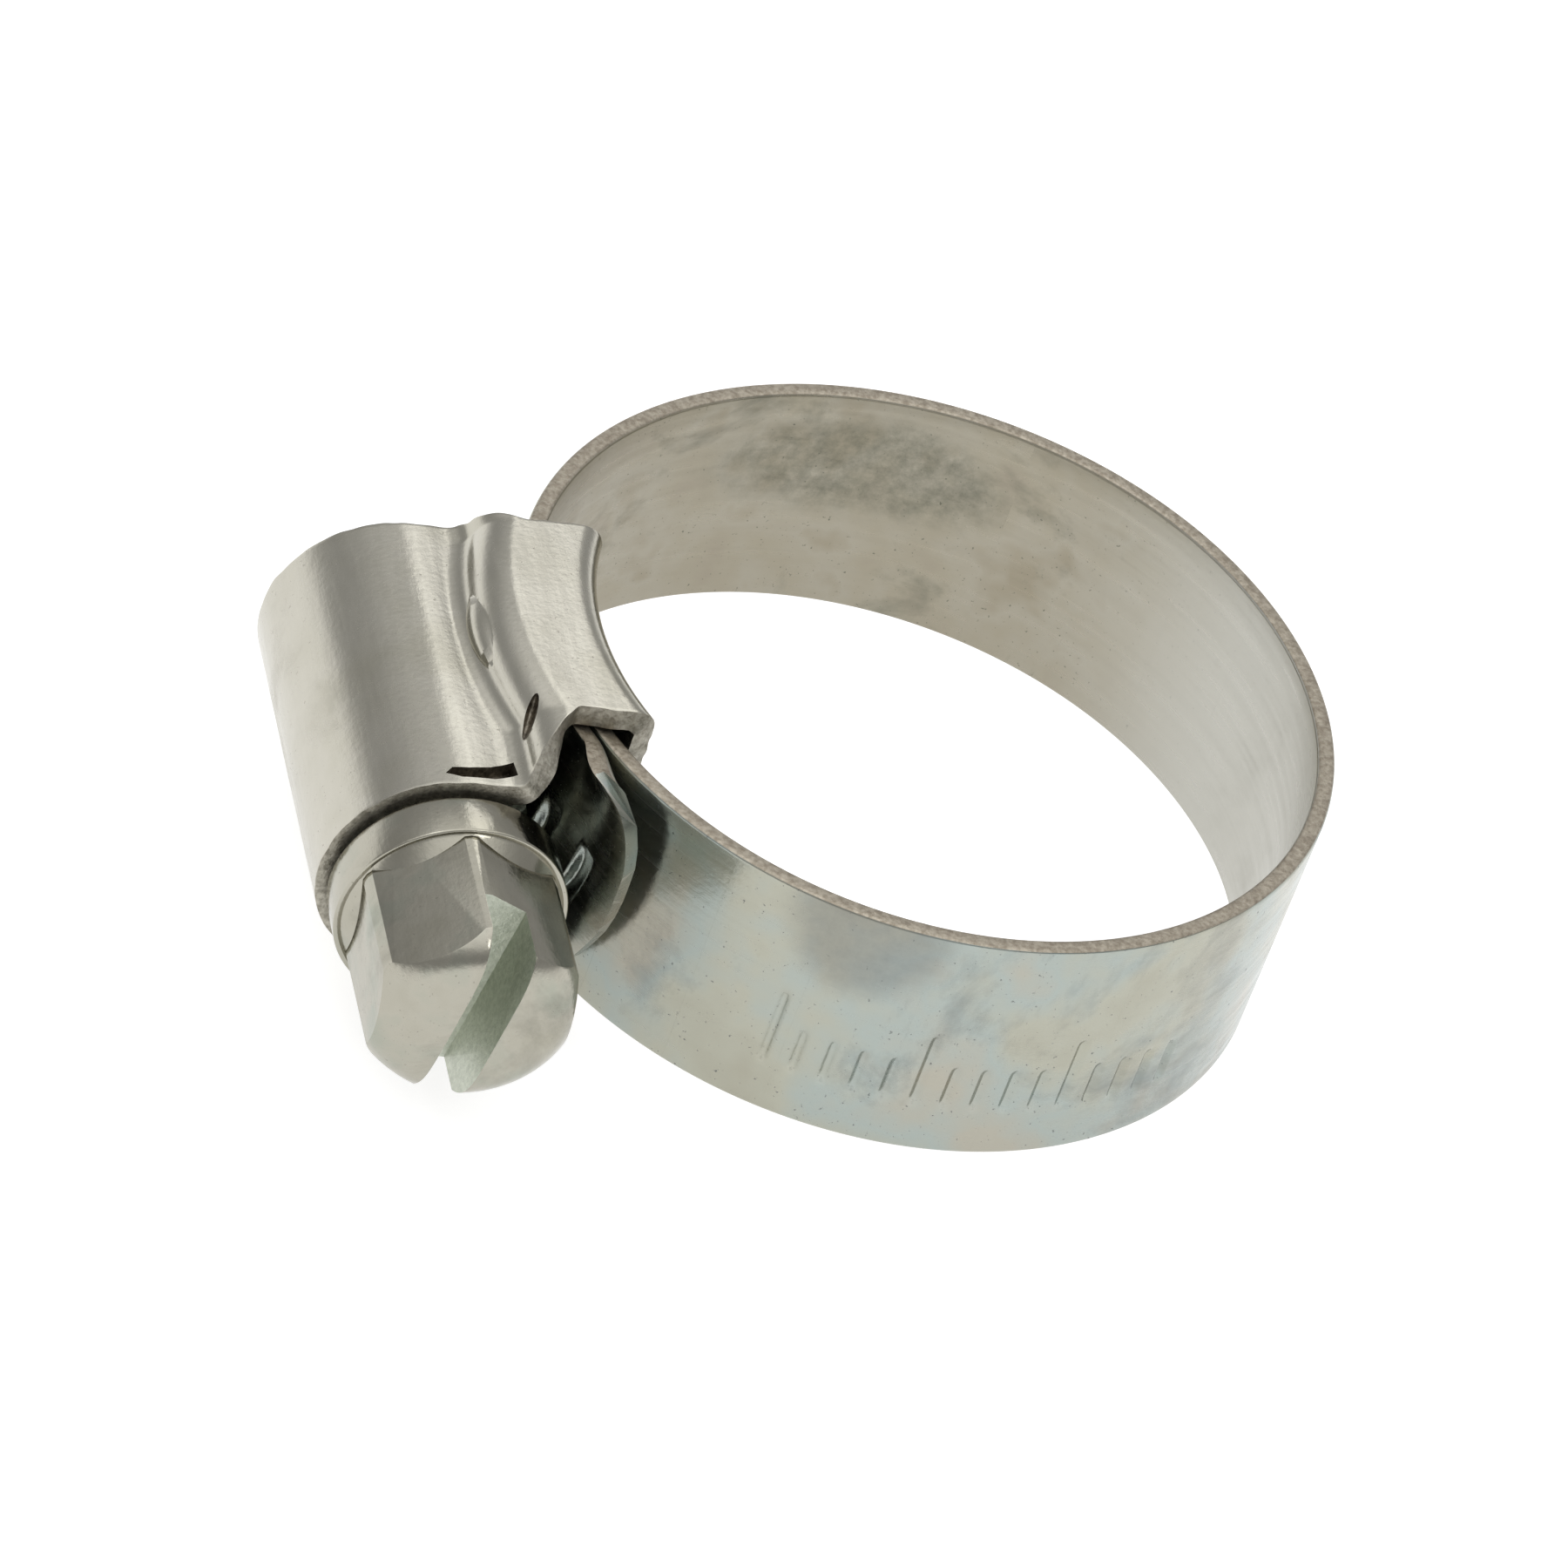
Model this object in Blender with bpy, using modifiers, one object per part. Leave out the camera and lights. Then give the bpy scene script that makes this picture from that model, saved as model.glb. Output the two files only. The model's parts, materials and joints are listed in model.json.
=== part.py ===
"""A worm-drive hose clamp, fully opened, lying on its side with its loop axis upright.

The loop axis is parallel to Z, the housing is on the -X side and the screw head points to -Y.
Sizes are in millimetres and the finished objects are in metres. The flexible band is one strip
of steel. It is cut here into short arcs, so that the loop can close on its joints.
"""
import math

import bmesh
import bpy
from mathutils import Vector

COLLECTION = "hose_clamp"
MM = 0.001

# Band
OPEN_DIAMETER = 25.4
BAND_WIDTH = 9.0
BAND_THICKNESS = 0.6
LAP_GAP = 0.1
LINK_GAP = 0.12
NEAR_LINKS = 10
FAR_LINKS = 4
FIXED_END_ANGLES = (-14.0, 27.0)
TAIL_ANGLES = (-124.0, 38.0)
TIP_TRIM_ANGLE = 9.0
TIP_LIFT = 0.7
LIFT_START_ANGLE = 25.0
TIP_ROUNDNESS = 3
TIP_ROWS = 8
FACET_ANGLE = 3.0

# Screw
THREAD_RADIUS = 0.35 * BAND_WIDTH
THREAD_HEIGHT = 0.55
THREAD_TIP = 0.55
THREAD_ROOT = 0.95
THREAD_PITCH = 2.4
THREAD_DEPTH_IN_BAND = 0.35
THREAD_LEAD_IN = 1.2
THREAD_FADE = 0.8
WORM_SETBACK = 0.5
WORM_STEPS = (64, 36)
GROOVE_CLEARANCE = 0.15
GROOVE_SIDE_CLEARANCE = 0.1
GROOVES = 15
FIRST_GROOVE = -3
COLLAR_RADIUS = 3.8
COLLAR_THICKNESS = 1.6
COLLAR_GAP = 0.3
HEX_ACROSS_FLATS = 6.35
HEAD_LENGTH = 5.3
HEX_TURN = 5.0
SLOT_TURN = 82.0
SLOT_WIDTH = 1.6
SLOT_DEPTH = 2.6
HEAD_CHAMFER = 0.9

LUG_WIDTH = 1.8
LUG_LENGTH = 0.45
LUG_CLEARANCE = 0.2
LUG_ANGLE = 75.0
LUG_SETBACK = 0.2

# Housing
SHEET = 0.8
CLINCH_RADIUS = 0.65
CLINCH_CLEARANCE = 0.15
CLINCH_HEIGHT = 2.2
WORM_CLEARANCE = 0.15
SIDE_CLEARANCE = 0.15
SEAM_GAP = 0.3
FLANGE_GAP = 0.45
HOOD_ENDS = (-7.45, 5.0)
WALL_ENDS = (-4.8, 4.2)
HOOD_WRAP = 96.0
SADDLE_REACH = (0.5, -1.0)
NECK_RADIUS = 0.12 * BAND_WIDTH
NECK_TURN = 76.0
SHOULDER_RADIUS = 0.1 * BAND_WIDTH
EDGE_RADIUS = 0.45
LENGTH_STEPS = 12

FIXED_RADIUS = OPEN_DIAMETER / 2 + BAND_THICKNESS / 2
TAIL_RADIUS = FIXED_RADIUS + BAND_THICKNESS + LAP_GAP
TAIL_OUTSIDE = TAIL_RADIUS + BAND_THICKNESS / 2
SCREW_OFFSET = TAIL_OUTSIDE - THREAD_DEPTH_IN_BAND + THREAD_RADIUS
GROOVE_ANGLE = THREAD_PITCH / (TAIL_OUTSIDE - THREAD_DEPTH_IN_BAND / 2)
THREAD_SLOPE = (THREAD_ROOT - THREAD_TIP) / THREAD_HEIGHT
GROOVE_WIDTH = THREAD_TIP + THREAD_SLOPE * THREAD_DEPTH_IN_BAND + 2.0 * GROOVE_SIDE_CLEARANCE
HOOD_RADIUS = THREAD_RADIUS + WORM_CLEARANCE + SHEET / 2
WALL_HEIGHT = BAND_WIDTH / 2 + SIDE_CLEARANCE + SHEET / 2
FLANGE_RADIUS = OPEN_DIAMETER / 2 - FLANGE_GAP - SHEET / 2
SADDLE_START = SCREW_OFFSET + SADDLE_REACH[0]
SADDLE_FULL = SCREW_OFFSET + SADDLE_REACH[1]
COLLAR_BACK = HOOD_ENDS[0] - COLLAR_GAP
HEAD_END = COLLAR_BACK - COLLAR_THICKNESS - HEAD_LENGTH
LOOP_END_ANGLE = 360.0 + TAIL_ANGLES[0]


def smoothstep(value):
    """Ease from 0 to 1."""
    value = min(max(value, 0.0), 1.0)
    return value * value * (3.0 - 2.0 * value)


def loop_radius(angle):
    """Mid-thickness radius of the free loop, which steps out by one lap from mouth to tail."""
    start = FIXED_END_ANGLES[1]
    share = (angle - start) / (LOOP_END_ANGLE - start)
    return FIXED_RADIUS + (TAIL_RADIUS - FIXED_RADIUS) * smoothstep(share)


def tail_radius(angle):
    """Mid-thickness radius of the tail, whose tip springs away from the loop."""
    share = (angle - LIFT_START_ANGLE) / (TAIL_ANGLES[1] - LIFT_START_ANGLE)
    return TAIL_RADIUS + TIP_LIFT * smoothstep(share)


def fixed_radius(angle):
    """Mid-thickness radius of the end that is held in the housing."""
    return FIXED_RADIUS


FAR_X = loop_radius(180.0) + BAND_THICKNESS / 2
LOOP_CENTRE = Vector((
    (SCREW_OFFSET + HOOD_RADIUS + SHEET / 2 - FAR_X) / 2,
    (-HEAD_END - TAIL_OUTSIDE) / 2,
    WALL_HEIGHT + SHEET / 2,
))


def loop_point(radius, angle, height):
    """World point at an angle from the housing's middle, positive towards the screw head."""
    turn = math.radians(angle)
    return LOOP_CENTRE + Vector((-radius * math.cos(turn), -radius * math.sin(turn), height))


def clear_scene():
    for item in list(bpy.data.objects):
        bpy.data.objects.remove(item, do_unlink=True)


def make_collection(name):
    collection = bpy.data.collections.new(name)
    bpy.context.scene.collection.children.link(collection)
    return collection


def make_material(name, colour, roughness):
    material = bpy.data.materials.new(name)
    material.use_nodes = True
    shader = material.node_tree.nodes["Principled BSDF"]
    shader.inputs["Base Color"].default_value = (*colour, 1.0)
    shader.inputs["Roughness"].default_value = roughness
    shader.inputs["Metallic"].default_value = 1.0
    material.diffuse_color = (*colour, 1.0)
    return material


def add_object(name, shape, collection, material, origin=None):
    """Turn a bmesh in millimetres into an object in metres whose origin is at the given point."""
    origin = LOOP_CENTRE if origin is None else origin
    bmesh.ops.translate(shape, verts=shape.verts, vec=-origin)
    bmesh.ops.scale(shape, verts=shape.verts, vec=(MM, MM, MM))
    bmesh.ops.recalc_face_normals(shape, faces=shape.faces)
    mesh = bpy.data.meshes.new(name)
    shape.to_mesh(mesh)
    shape.free()
    item = bpy.data.objects.new(name, mesh)
    item.location = origin * MM
    collection.objects.link(item)
    if material is not None:
        mesh.materials.append(material)
    return item


def grid_surface(columns, rows, place):
    """Open grid whose points are placed by a function of two shares from 0 to 1."""
    shape = bmesh.new()
    bmesh.ops.create_grid(shape, x_segments=columns, y_segments=rows, size=0.5)
    for vert in shape.verts:
        vert.co = place(vert.co.x + 0.5, vert.co.y + 0.5)
    return shape


def add_solidify(item, thickness):
    solidify = item.modifiers.new("sheet", "SOLIDIFY")
    solidify.thickness = thickness * MM
    solidify.offset = 0.0
    solidify.use_even_offset = True


def add_boolean(item, cutter, operation):
    boolean = item.modifiers.new(operation.lower(), "BOOLEAN")
    boolean.object = cutter
    boolean.operation = operation
    boolean.solver = "EXACT"


def hide_cutter(cutter):
    cutter.hide_render = True
    cutter.display_type = "WIRE"


def band_arc(name, start, end, radius_at, collection, material, origin=None, trim=0.0):
    """One stretch of the strip, between two angles round the loop."""
    def place(along, across):
        height = (across - 0.5) * BAND_WIDTH
        last = end - trim * abs(2.0 * across - 1.0) ** TIP_ROUNDNESS
        angle = start + (last - start) * along
        return loop_point(radius_at(angle), angle, height)

    columns = max(2, round(abs(end - start) / FACET_ANGLE))
    rows = TIP_ROWS if trim else 1
    item = add_object(name, grid_surface(columns, rows, place), collection, material, origin)
    add_solidify(item, BAND_THICKNESS)
    return item


def make_groove_cutter(collection):
    """Leaning discs, one for each pressed groove that the worm runs in."""
    shape = bmesh.new()
    lead = THREAD_PITCH / (2.0 * math.pi * (THREAD_RADIUS - THREAD_DEPTH_IN_BAND))
    reach = THREAD_RADIUS + GROOVE_CLEARANCE / 2
    for step in range(FIRST_GROOVE, FIRST_GROOVE + GROOVES):
        disc = bmesh.ops.create_cone(shape, cap_ends=True, segments=32, depth=GROOVE_WIDTH,
                                     radius1=reach, radius2=reach)
        turn = step * GROOVE_ANGLE
        for vert in disc["verts"]:
            x, z, y = vert.co
            y -= lead * z
            out = SCREW_OFFSET - x
            vert.co = LOOP_CENTRE + Vector((
                -out * math.cos(turn) + y * math.sin(turn),
                out * math.sin(turn) + y * math.cos(turn), z))
    cutter = add_object("groove_cutter", shape, collection, None)
    hide_cutter(cutter)
    return cutter


def make_tail(collection, cutters, material):
    tail = band_arc("band_tail", TAIL_ANGLES[0], TAIL_ANGLES[1], tail_radius, collection,
                    material, trim=TIP_TRIM_ANGLE)
    add_boolean(tail, make_groove_cutter(cutters), "DIFFERENCE")
    return tail


def link_angles(start, end, count):
    """Split a stretch of the loop into links, and give each its two ends."""
    step = (end - start) / count
    half_gap = math.degrees(LINK_GAP / 2 / FIXED_RADIUS)
    return [(start + step * i + half_gap, start + step * (i + 1) - half_gap) for i in range(count)]


def make_links(label, spans, reverse, parent, collection, material):
    """Links that follow each other from the parent, each with its origin on its own hinge."""
    half_gap = math.degrees(LINK_GAP / 2 / FIXED_RADIUS)
    ordered = list(reversed(spans)) if reverse else spans
    for number, (start, end) in enumerate(ordered, 1):
        hinge = end + half_gap if reverse else start - half_gap
        origin = loop_point(loop_radius(hinge), hinge, 0.0)
        name = f"band_{label}_{number:02d}"
        link = band_arc(name, start, end, loop_radius, collection, material, origin)
        bpy.context.view_layer.update()
        link.parent = parent
        link.matrix_parent_inverse = parent.matrix_world.inverted()
        bpy.context.view_layer.update()
        parent = link


def housing_profile():
    """Mid-line of the pressed sheet in offset and height, from its top to the seam."""
    points = []
    place = Vector((SCREW_OFFSET + HOOD_RADIUS, 0.0))
    heading = 90.0

    def bend(radius, turn, steps):
        nonlocal place, heading
        step = turn / steps
        chord = 2.0 * radius * math.sin(math.radians(abs(step)) / 2)
        for _ in range(steps):
            heading_mid = math.radians(heading + step / 2)
            place = place + chord * Vector((math.cos(heading_mid), math.sin(heading_mid)))
            heading += step
            points.append(place.copy())

    def run_to(value, axis, steps):
        nonlocal place
        start = place.copy()
        direction = Vector((math.cos(math.radians(heading)), math.sin(math.radians(heading))))
        length = (value - start[axis]) / direction[axis]
        for step in range(1, steps + 1):
            place = start + direction * length * step / steps
            points.append(place.copy())

    points.append(place.copy())
    bend(HOOD_RADIUS, HOOD_WRAP, 12)
    bend(NECK_RADIUS, -NECK_TURN, 6)
    shoulder_turn = 90.0 - HOOD_WRAP + NECK_TURN
    shoulder_rise = SHOULDER_RADIUS * (1.0 - math.cos(math.radians(shoulder_turn)))
    run_to(WALL_HEIGHT - shoulder_rise, 1, 1)
    bend(SHOULDER_RADIUS, shoulder_turn, 5)
    run_to(FLANGE_RADIUS + EDGE_RADIUS, 0, 2)
    bend(EDGE_RADIUS, 90.0, 5)
    run_to(SEAM_GAP / 2, 1, 3)
    return points


def clinch_pins(radius, start, end):
    """Two short pins that stand on the band, between two distances from the loop axis."""
    shape = bmesh.new()
    for side in (-1.0, 1.0):
        pin = bmesh.ops.create_cone(shape, cap_ends=True, segments=24, depth=end - start,
                                    radius1=radius, radius2=radius)
        for vert in pin["verts"]:
            y, z, x = vert.co
            vert.co = LOOP_CENTRE + Vector((-x - (start + end) / 2, y, z + side * CLINCH_HEIGHT))
    return shape


def make_lug(collection):
    """Punched lug of the hood that reaches in behind the screw's collar."""
    inner = THREAD_RADIUS - THREAD_HEIGHT + LUG_CLEARANCE
    shape = bmesh.new()
    bmesh.ops.create_cube(shape, size=1.0)
    turn = math.radians(LUG_ANGLE)
    for vert in shape.verts:
        out = inner + (HOOD_RADIUS - inner) * (vert.co.x + 0.5)
        side = vert.co.z * LUG_WIDTH
        y = HOOD_ENDS[0] + LUG_SETBACK + LUG_LENGTH * (vert.co.y + 0.5)
        vert.co = LOOP_CENTRE + Vector((
            -SCREW_OFFSET - out * math.cos(turn) + side * math.sin(turn), y,
            out * math.sin(turn) + side * math.cos(turn)))
    lug = add_object("retaining_lug", shape, collection, None)
    hide_cutter(lug)
    return lug


def make_fixed_end(collection, cutters, material):
    end = FIXED_END_ANGLES[1] - math.degrees(LINK_GAP / 2 / FIXED_RADIUS)
    fixed = band_arc("band_fixed_end", FIXED_END_ANGLES[0], end, fixed_radius, collection, material)
    holes = clinch_pins(CLINCH_RADIUS + CLINCH_CLEARANCE, FIXED_RADIUS - BAND_THICKNESS,
                        FIXED_RADIUS + BAND_THICKNESS)
    cutter = add_object("clinch_holes", holes, cutters, None)
    hide_cutter(cutter)
    add_boolean(fixed, cutter, "DIFFERENCE")
    return fixed


def make_housing(collection, cutters, material):
    half = housing_profile()
    profile = [Vector((p.x, -p.y)) for p in reversed(half[1:])] + half

    def place(along, across):
        point = profile[round(across * (len(profile) - 1))]
        saddle = smoothstep((SADDLE_START - point.x) / (SADDLE_START - SADDLE_FULL))
        shorter = smoothstep((SADDLE_FULL - point.x) / (SADDLE_FULL - TAIL_OUTSIDE))
        near = HOOD_ENDS[0] + (WALL_ENDS[0] - HOOD_ENDS[0]) * shorter
        far = HOOD_ENDS[1] + (WALL_ENDS[1] - HOOD_ENDS[1]) * shorter
        y = near + (far - near) * along
        bow = min(max(y, WALL_ENDS[0]), WALL_ENDS[1])
        dip = point.x - math.sqrt(point.x ** 2 - bow ** 2)
        return LOOP_CENTRE + Vector((-(point.x - saddle * dip), y, point.y))

    shape = grid_surface(LENGTH_STEPS, len(profile) - 1, place)
    housing = add_object("housing", shape, collection, material)
    add_solidify(housing, SHEET)
    pins = clinch_pins(CLINCH_RADIUS, FLANGE_RADIUS, FIXED_RADIUS + BAND_THICKNESS / 2 - LAP_GAP / 2)
    pins = add_object("clinch_pins", pins, cutters, None)
    hide_cutter(pins)
    add_boolean(housing, pins, "UNION")
    add_boolean(housing, make_lug(cutters), "UNION")
    return housing


def screw_part(name, shape, collection, material=None):
    """Turn a shape drawn about the screw's middle into an object whose origin is there."""
    origin = LOOP_CENTRE + Vector((-SCREW_OFFSET, 0.0, 0.0))
    bmesh.ops.translate(shape, verts=shape.verts, vec=origin)
    return add_object(name, shape, collection, material, origin)


def worm_radius(turn, y, start, end):
    """Radius of the thread at an angle and a place along the axis."""
    root = THREAD_RADIUS - THREAD_HEIGHT
    phase = (y - THREAD_PITCH * turn / (2.0 * math.pi)) / THREAD_PITCH
    distance = abs(phase - round(phase)) * THREAD_PITCH
    flank = (THREAD_ROOT / 2 - distance) / (THREAD_ROOT / 2 - THREAD_TIP / 2)
    fade = min(1.0, max(0.0, min(y - start, end - y) / THREAD_FADE))
    return root + THREAD_HEIGHT * min(max(flank, 0.0), 1.0) * fade


def make_worm(cutters):
    """Threaded shank, right-handed about +Y, closed by flat ends."""
    start = COLLAR_BACK - COLLAR_THICKNESS / 4
    end = HOOD_ENDS[1] - WORM_SETBACK
    thread_start = COLLAR_BACK + THREAD_LEAD_IN
    thread_end = end - WORM_SETBACK

    def place(along, around):
        y = start + (end - start) * along
        turn = 2.0 * math.pi * around
        radius = worm_radius(turn, y, thread_start, thread_end)
        return Vector((radius * math.cos(turn), y, -radius * math.sin(turn)))

    shape = grid_surface(*WORM_STEPS, place)
    bmesh.ops.remove_doubles(shape, verts=shape.verts, dist=0.0001)
    rims = [edge for edge in shape.edges if edge.is_boundary]
    bmesh.ops.holes_fill(shape, edges=rims, sides=0)
    return screw_part("worm_body", shape, cutters)


def turned_y(shape, radius_near, radius_far, y_near, y_far, segments, turn=0.0):
    """Add a closed cone or prism along Y, between two places on the screw's axis."""
    cone = bmesh.ops.create_cone(shape, cap_ends=True, segments=segments,
                                 depth=abs(y_far - y_near), radius1=radius_near, radius2=radius_far)
    for vert in cone["verts"]:
        x, z, y = vert.co
        reach = math.hypot(x, z)
        angle = math.atan2(z, x) + math.radians(turn)
        vert.co = Vector((reach * math.cos(angle), y + (y_near + y_far) / 2, reach * math.sin(angle)))


def make_hexagon(collection, material):
    corner = HEX_ACROSS_FLATS / math.sqrt(3.0)
    shape = bmesh.new()
    turned_y(shape, corner, corner, HEAD_END, COLLAR_BACK - COLLAR_THICKNESS / 2, 6, HEX_TURN + 30.0)
    return screw_part("worm_screw", shape, collection, material)


def make_chamfer(cutters):
    """Wide cone that takes the corners off the end of the hexagon."""
    tip = HEX_ACROSS_FLATS / math.sqrt(3.0) - HEAD_CHAMFER
    reach = HEAD_LENGTH + COLLAR_THICKNESS
    shape = bmesh.new()
    turned_y(shape, tip, tip + reach, HEAD_END, HEAD_END + reach, 48)
    return screw_part("head_chamfer", shape, cutters)


def make_collar(cutters):
    shape = bmesh.new()
    turned_y(shape, COLLAR_RADIUS, COLLAR_RADIUS, COLLAR_BACK - COLLAR_THICKNESS, COLLAR_BACK, 48)
    return screw_part("collar_body", shape, cutters)


def make_slot(cutters):
    """Box that cuts the driver slot across the end of the head."""
    shape = bmesh.new()
    bmesh.ops.create_cube(shape, size=1.0)
    bmesh.ops.scale(shape, verts=shape.verts, vec=(4 * COLLAR_RADIUS, 2 * SLOT_DEPTH, SLOT_WIDTH))
    turn = math.radians(SLOT_TURN)
    for vert in shape.verts:
        x, y, z = vert.co
        vert.co = Vector((x * math.cos(turn) - z * math.sin(turn), y + HEAD_END,
                          x * math.sin(turn) + z * math.cos(turn)))
    return screw_part("slot_cutter", shape, cutters)


def make_screw(collection, cutters, material):
    screw = make_hexagon(collection, material)
    chamfer = make_chamfer(cutters)
    slot = make_slot(cutters)
    collar = make_collar(cutters)
    worm = make_worm(cutters)
    for cutter in (chamfer, slot, collar, worm):
        hide_cutter(cutter)
    add_boolean(screw, chamfer, "INTERSECT")
    add_boolean(screw, slot, "DIFFERENCE")
    add_boolean(screw, collar, "UNION")
    add_boolean(screw, worm, "UNION")
    return screw


def build():
    clear_scene()
    parts = make_collection(COLLECTION)
    cutters = make_collection("cutters")
    zinc = make_material("zinc_plated_band", (0.62, 0.62, 0.57), 0.32)
    bright = make_material("bright_zinc_housing", (0.66, 0.65, 0.62), 0.26)
    turned = make_material("bright_zinc_screw", (0.58, 0.57, 0.55), 0.2)

    make_housing(parts, cutters, bright)
    fixed = make_fixed_end(parts, cutters, zinc)
    make_screw(parts, cutters, turned)
    tail = make_tail(parts, cutters, zinc)
    near = link_angles(FIXED_END_ANGLES[1], 180.0, NEAR_LINKS)
    far = link_angles(180.0, LOOP_END_ANGLE, FAR_LINKS)
    make_links("near", near, False, fixed, parts, zinc)
    make_links("far", far, True, tail, parts, zinc)


build()
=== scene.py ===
# %% [markdown]
# # A worm-drive hose clamp
# The real clamp is three pieces of zinc-plated steel: a pressed housing, a forged screw and one
# flexible band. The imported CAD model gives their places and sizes, and says which body each piece
# moves with. This lesson draws finer pieces in the same places and gives them real finishes.

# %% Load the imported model
import json
import math

import bmesh
import bpy
from mathutils import Matrix, Vector, noise


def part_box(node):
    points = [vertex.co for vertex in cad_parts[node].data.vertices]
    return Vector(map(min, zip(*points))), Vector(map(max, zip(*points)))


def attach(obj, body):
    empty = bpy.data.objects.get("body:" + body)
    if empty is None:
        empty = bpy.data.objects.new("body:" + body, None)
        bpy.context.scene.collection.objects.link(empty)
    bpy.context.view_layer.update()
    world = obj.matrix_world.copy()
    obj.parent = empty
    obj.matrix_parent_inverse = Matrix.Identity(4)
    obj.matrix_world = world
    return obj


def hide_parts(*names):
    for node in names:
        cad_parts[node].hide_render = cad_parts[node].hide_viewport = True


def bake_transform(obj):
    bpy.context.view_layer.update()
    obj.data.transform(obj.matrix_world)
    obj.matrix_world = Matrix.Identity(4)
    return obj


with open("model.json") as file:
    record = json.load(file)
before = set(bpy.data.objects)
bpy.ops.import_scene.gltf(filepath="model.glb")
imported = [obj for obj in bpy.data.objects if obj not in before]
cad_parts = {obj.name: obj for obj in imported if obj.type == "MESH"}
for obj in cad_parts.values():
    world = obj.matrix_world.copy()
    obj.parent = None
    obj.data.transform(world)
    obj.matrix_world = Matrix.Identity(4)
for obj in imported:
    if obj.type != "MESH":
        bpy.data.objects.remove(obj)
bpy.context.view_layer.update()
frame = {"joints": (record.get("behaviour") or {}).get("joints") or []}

# %% [markdown]
# ## Where everything is
# Every size here is in millimetres from the middle of the loop, because a clamp is drawn that way:
# a distance from the loop's axis, an angle round it and a height. The middle itself is the hinge
# that the tail turns about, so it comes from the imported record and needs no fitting.

# %% Measure the frame
MM = 0.001
hinge_at = {joint["name"]: Vector(joint["pos_m"]) for joint in frame["joints"]}
CENTRE = hinge_at["tail_feed"]
SCREW_OFFSET = (CENTRE.x - hinge_at["screw_turn"].x) / MM
strip_low, strip_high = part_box("band_near_05")
BAND_WIDTH = (strip_high.z - strip_low.z) / MM
BAND_THICKNESS = 0.6
MOUTH_RADIUS = 13.0
TAIL_RADIUS = 13.7


def placed(point):
    """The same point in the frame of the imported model, in metres."""
    return CENTRE + point * MM


print("screw axis", round(SCREW_OFFSET, 2), "mm from the loop axis, band", round(BAND_WIDTH, 2))

# %% [markdown]
# ## The camera
# A long lens from far away keeps small things free of strong perspective, which is how a part
# catalogue shows them. The camera looks at the loop from above its screw head. It is turned a
# little about its own line of sight, so the loop seems to lean, while the clamp lies flat.

# %% Place the camera
CAMERA_ROLL = math.radians(21.21)
CAMERA_DISTANCE = 400.5
AIM = Vector((-3.303, 0.269, -1.423))


def compass(azimuth, elevation):
    """Direction from a compass angle and a height angle in degrees."""
    turn, rise = math.radians(azimuth), math.radians(elevation)
    return Vector((math.sin(turn) * math.cos(rise), -math.cos(turn) * math.cos(rise),
                   math.sin(rise)))


sight = compass(-24.28, 38.5)
camera = bpy.data.objects.new("camera", bpy.data.cameras.new("camera"))
camera.data.lens = 280.0
camera.data.sensor_width = 36.0
camera.data.clip_end = 20.0
camera.matrix_world = (Matrix.Translation(placed(AIM + sight * CAMERA_DISTANCE))
                       @ sight.to_track_quat("Z", "Y").to_matrix().to_4x4()
                       @ Matrix.Rotation(CAMERA_ROLL, 4, "Z"))
bpy.context.scene.collection.objects.link(camera)
bpy.context.scene.camera = camera
print("camera at", tuple(round(v, 3) for v in camera.location))

# %% [markdown]
# ## One helper for every node
# Materials and Geometry Nodes are both built from nodes. One small function adds a node, sets its
# properties and fills its inputs, either with a value or with a link from another node. Where many
# sums follow each other, they are easier to read as a list of steps, so a second function walks
# down such a list and lets each step use the results of those before it.

# %% Add a node
MATH = "ShaderNodeMath"
VECTORS = "ShaderNodeVectorMath"
RANGE = "ShaderNodeMapRange"
NOISE = "ShaderNodeTexNoise"
ATTRIBUTE = "GeometryNodeInputNamedAttribute"


def fill(tree, node, inputs):
    """Fill inputs with values or links. A node given as input stands for its first output."""
    for key, value in inputs.items():
        if isinstance(value, bpy.types.Node):
            value = value.outputs[0]
        if isinstance(value, bpy.types.NodeSocket):
            tree.links.new(value, node.inputs[key])
        else:
            node.inputs[key].default_value = value


def add(tree, kind, inputs=None, **settings):
    """Add a node with its settings and inputs."""
    node = tree.nodes.new(kind)
    for key, value in settings.items():
        setattr(node, key, value)
    fill(tree, node, inputs or {})
    return node


def chain(tree, known, steps):
    """Add a node for each step: name, kind, mode, inputs. A name as input is looked up."""
    for name, kind, mode, *values in steps:
        values = [known[value] if isinstance(value, str) else value for value in values]
        known[name] = add(tree, kind, dict(enumerate(values)))
        setattr(known[name], "interpolation_type" if kind == RANGE else "operation", mode)
    return known


def draw_curve(node, points):
    """Shape the widget of a Float Curve node."""
    widget = node.mapping.curves[0]
    widget.points[0].location = points[0]
    widget.points[1].location = points[-1]
    for point in points[1:-1]:
        widget.points.new(*point)
    node.mapping.update()


def new_material(name):
    """Start a material. Gives it back with its tree and its shader."""
    material = bpy.data.materials.new(name)
    material.use_nodes = True
    return material, material.node_tree, material.node_tree.nodes["Principled BSDF"]


def linear(code):
    """Turn an sRGB hex colour into the linear colour that a shader wants."""
    parts = [int(code[start:start + 2], 16) / 255 for start in (1, 3, 5)]
    return (*[part / 12.92 if part <= 0.04045 else ((part + 0.055) / 1.055) ** 2.4
              for part in parts], 1.0)


print("helper ready, mid grey is", round(linear("#808080")[0], 3))

# %% [markdown]
# ## Floor and light
# Bright metal shows nothing but what stands round it. A white floor gives the band its even pale
# grey, and a dimmer room gives the hood its darker top. Overhead the room is bright again, which
# draws the light lines along the bends. The floor also glows a little, so the shadows stay faint.

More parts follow.
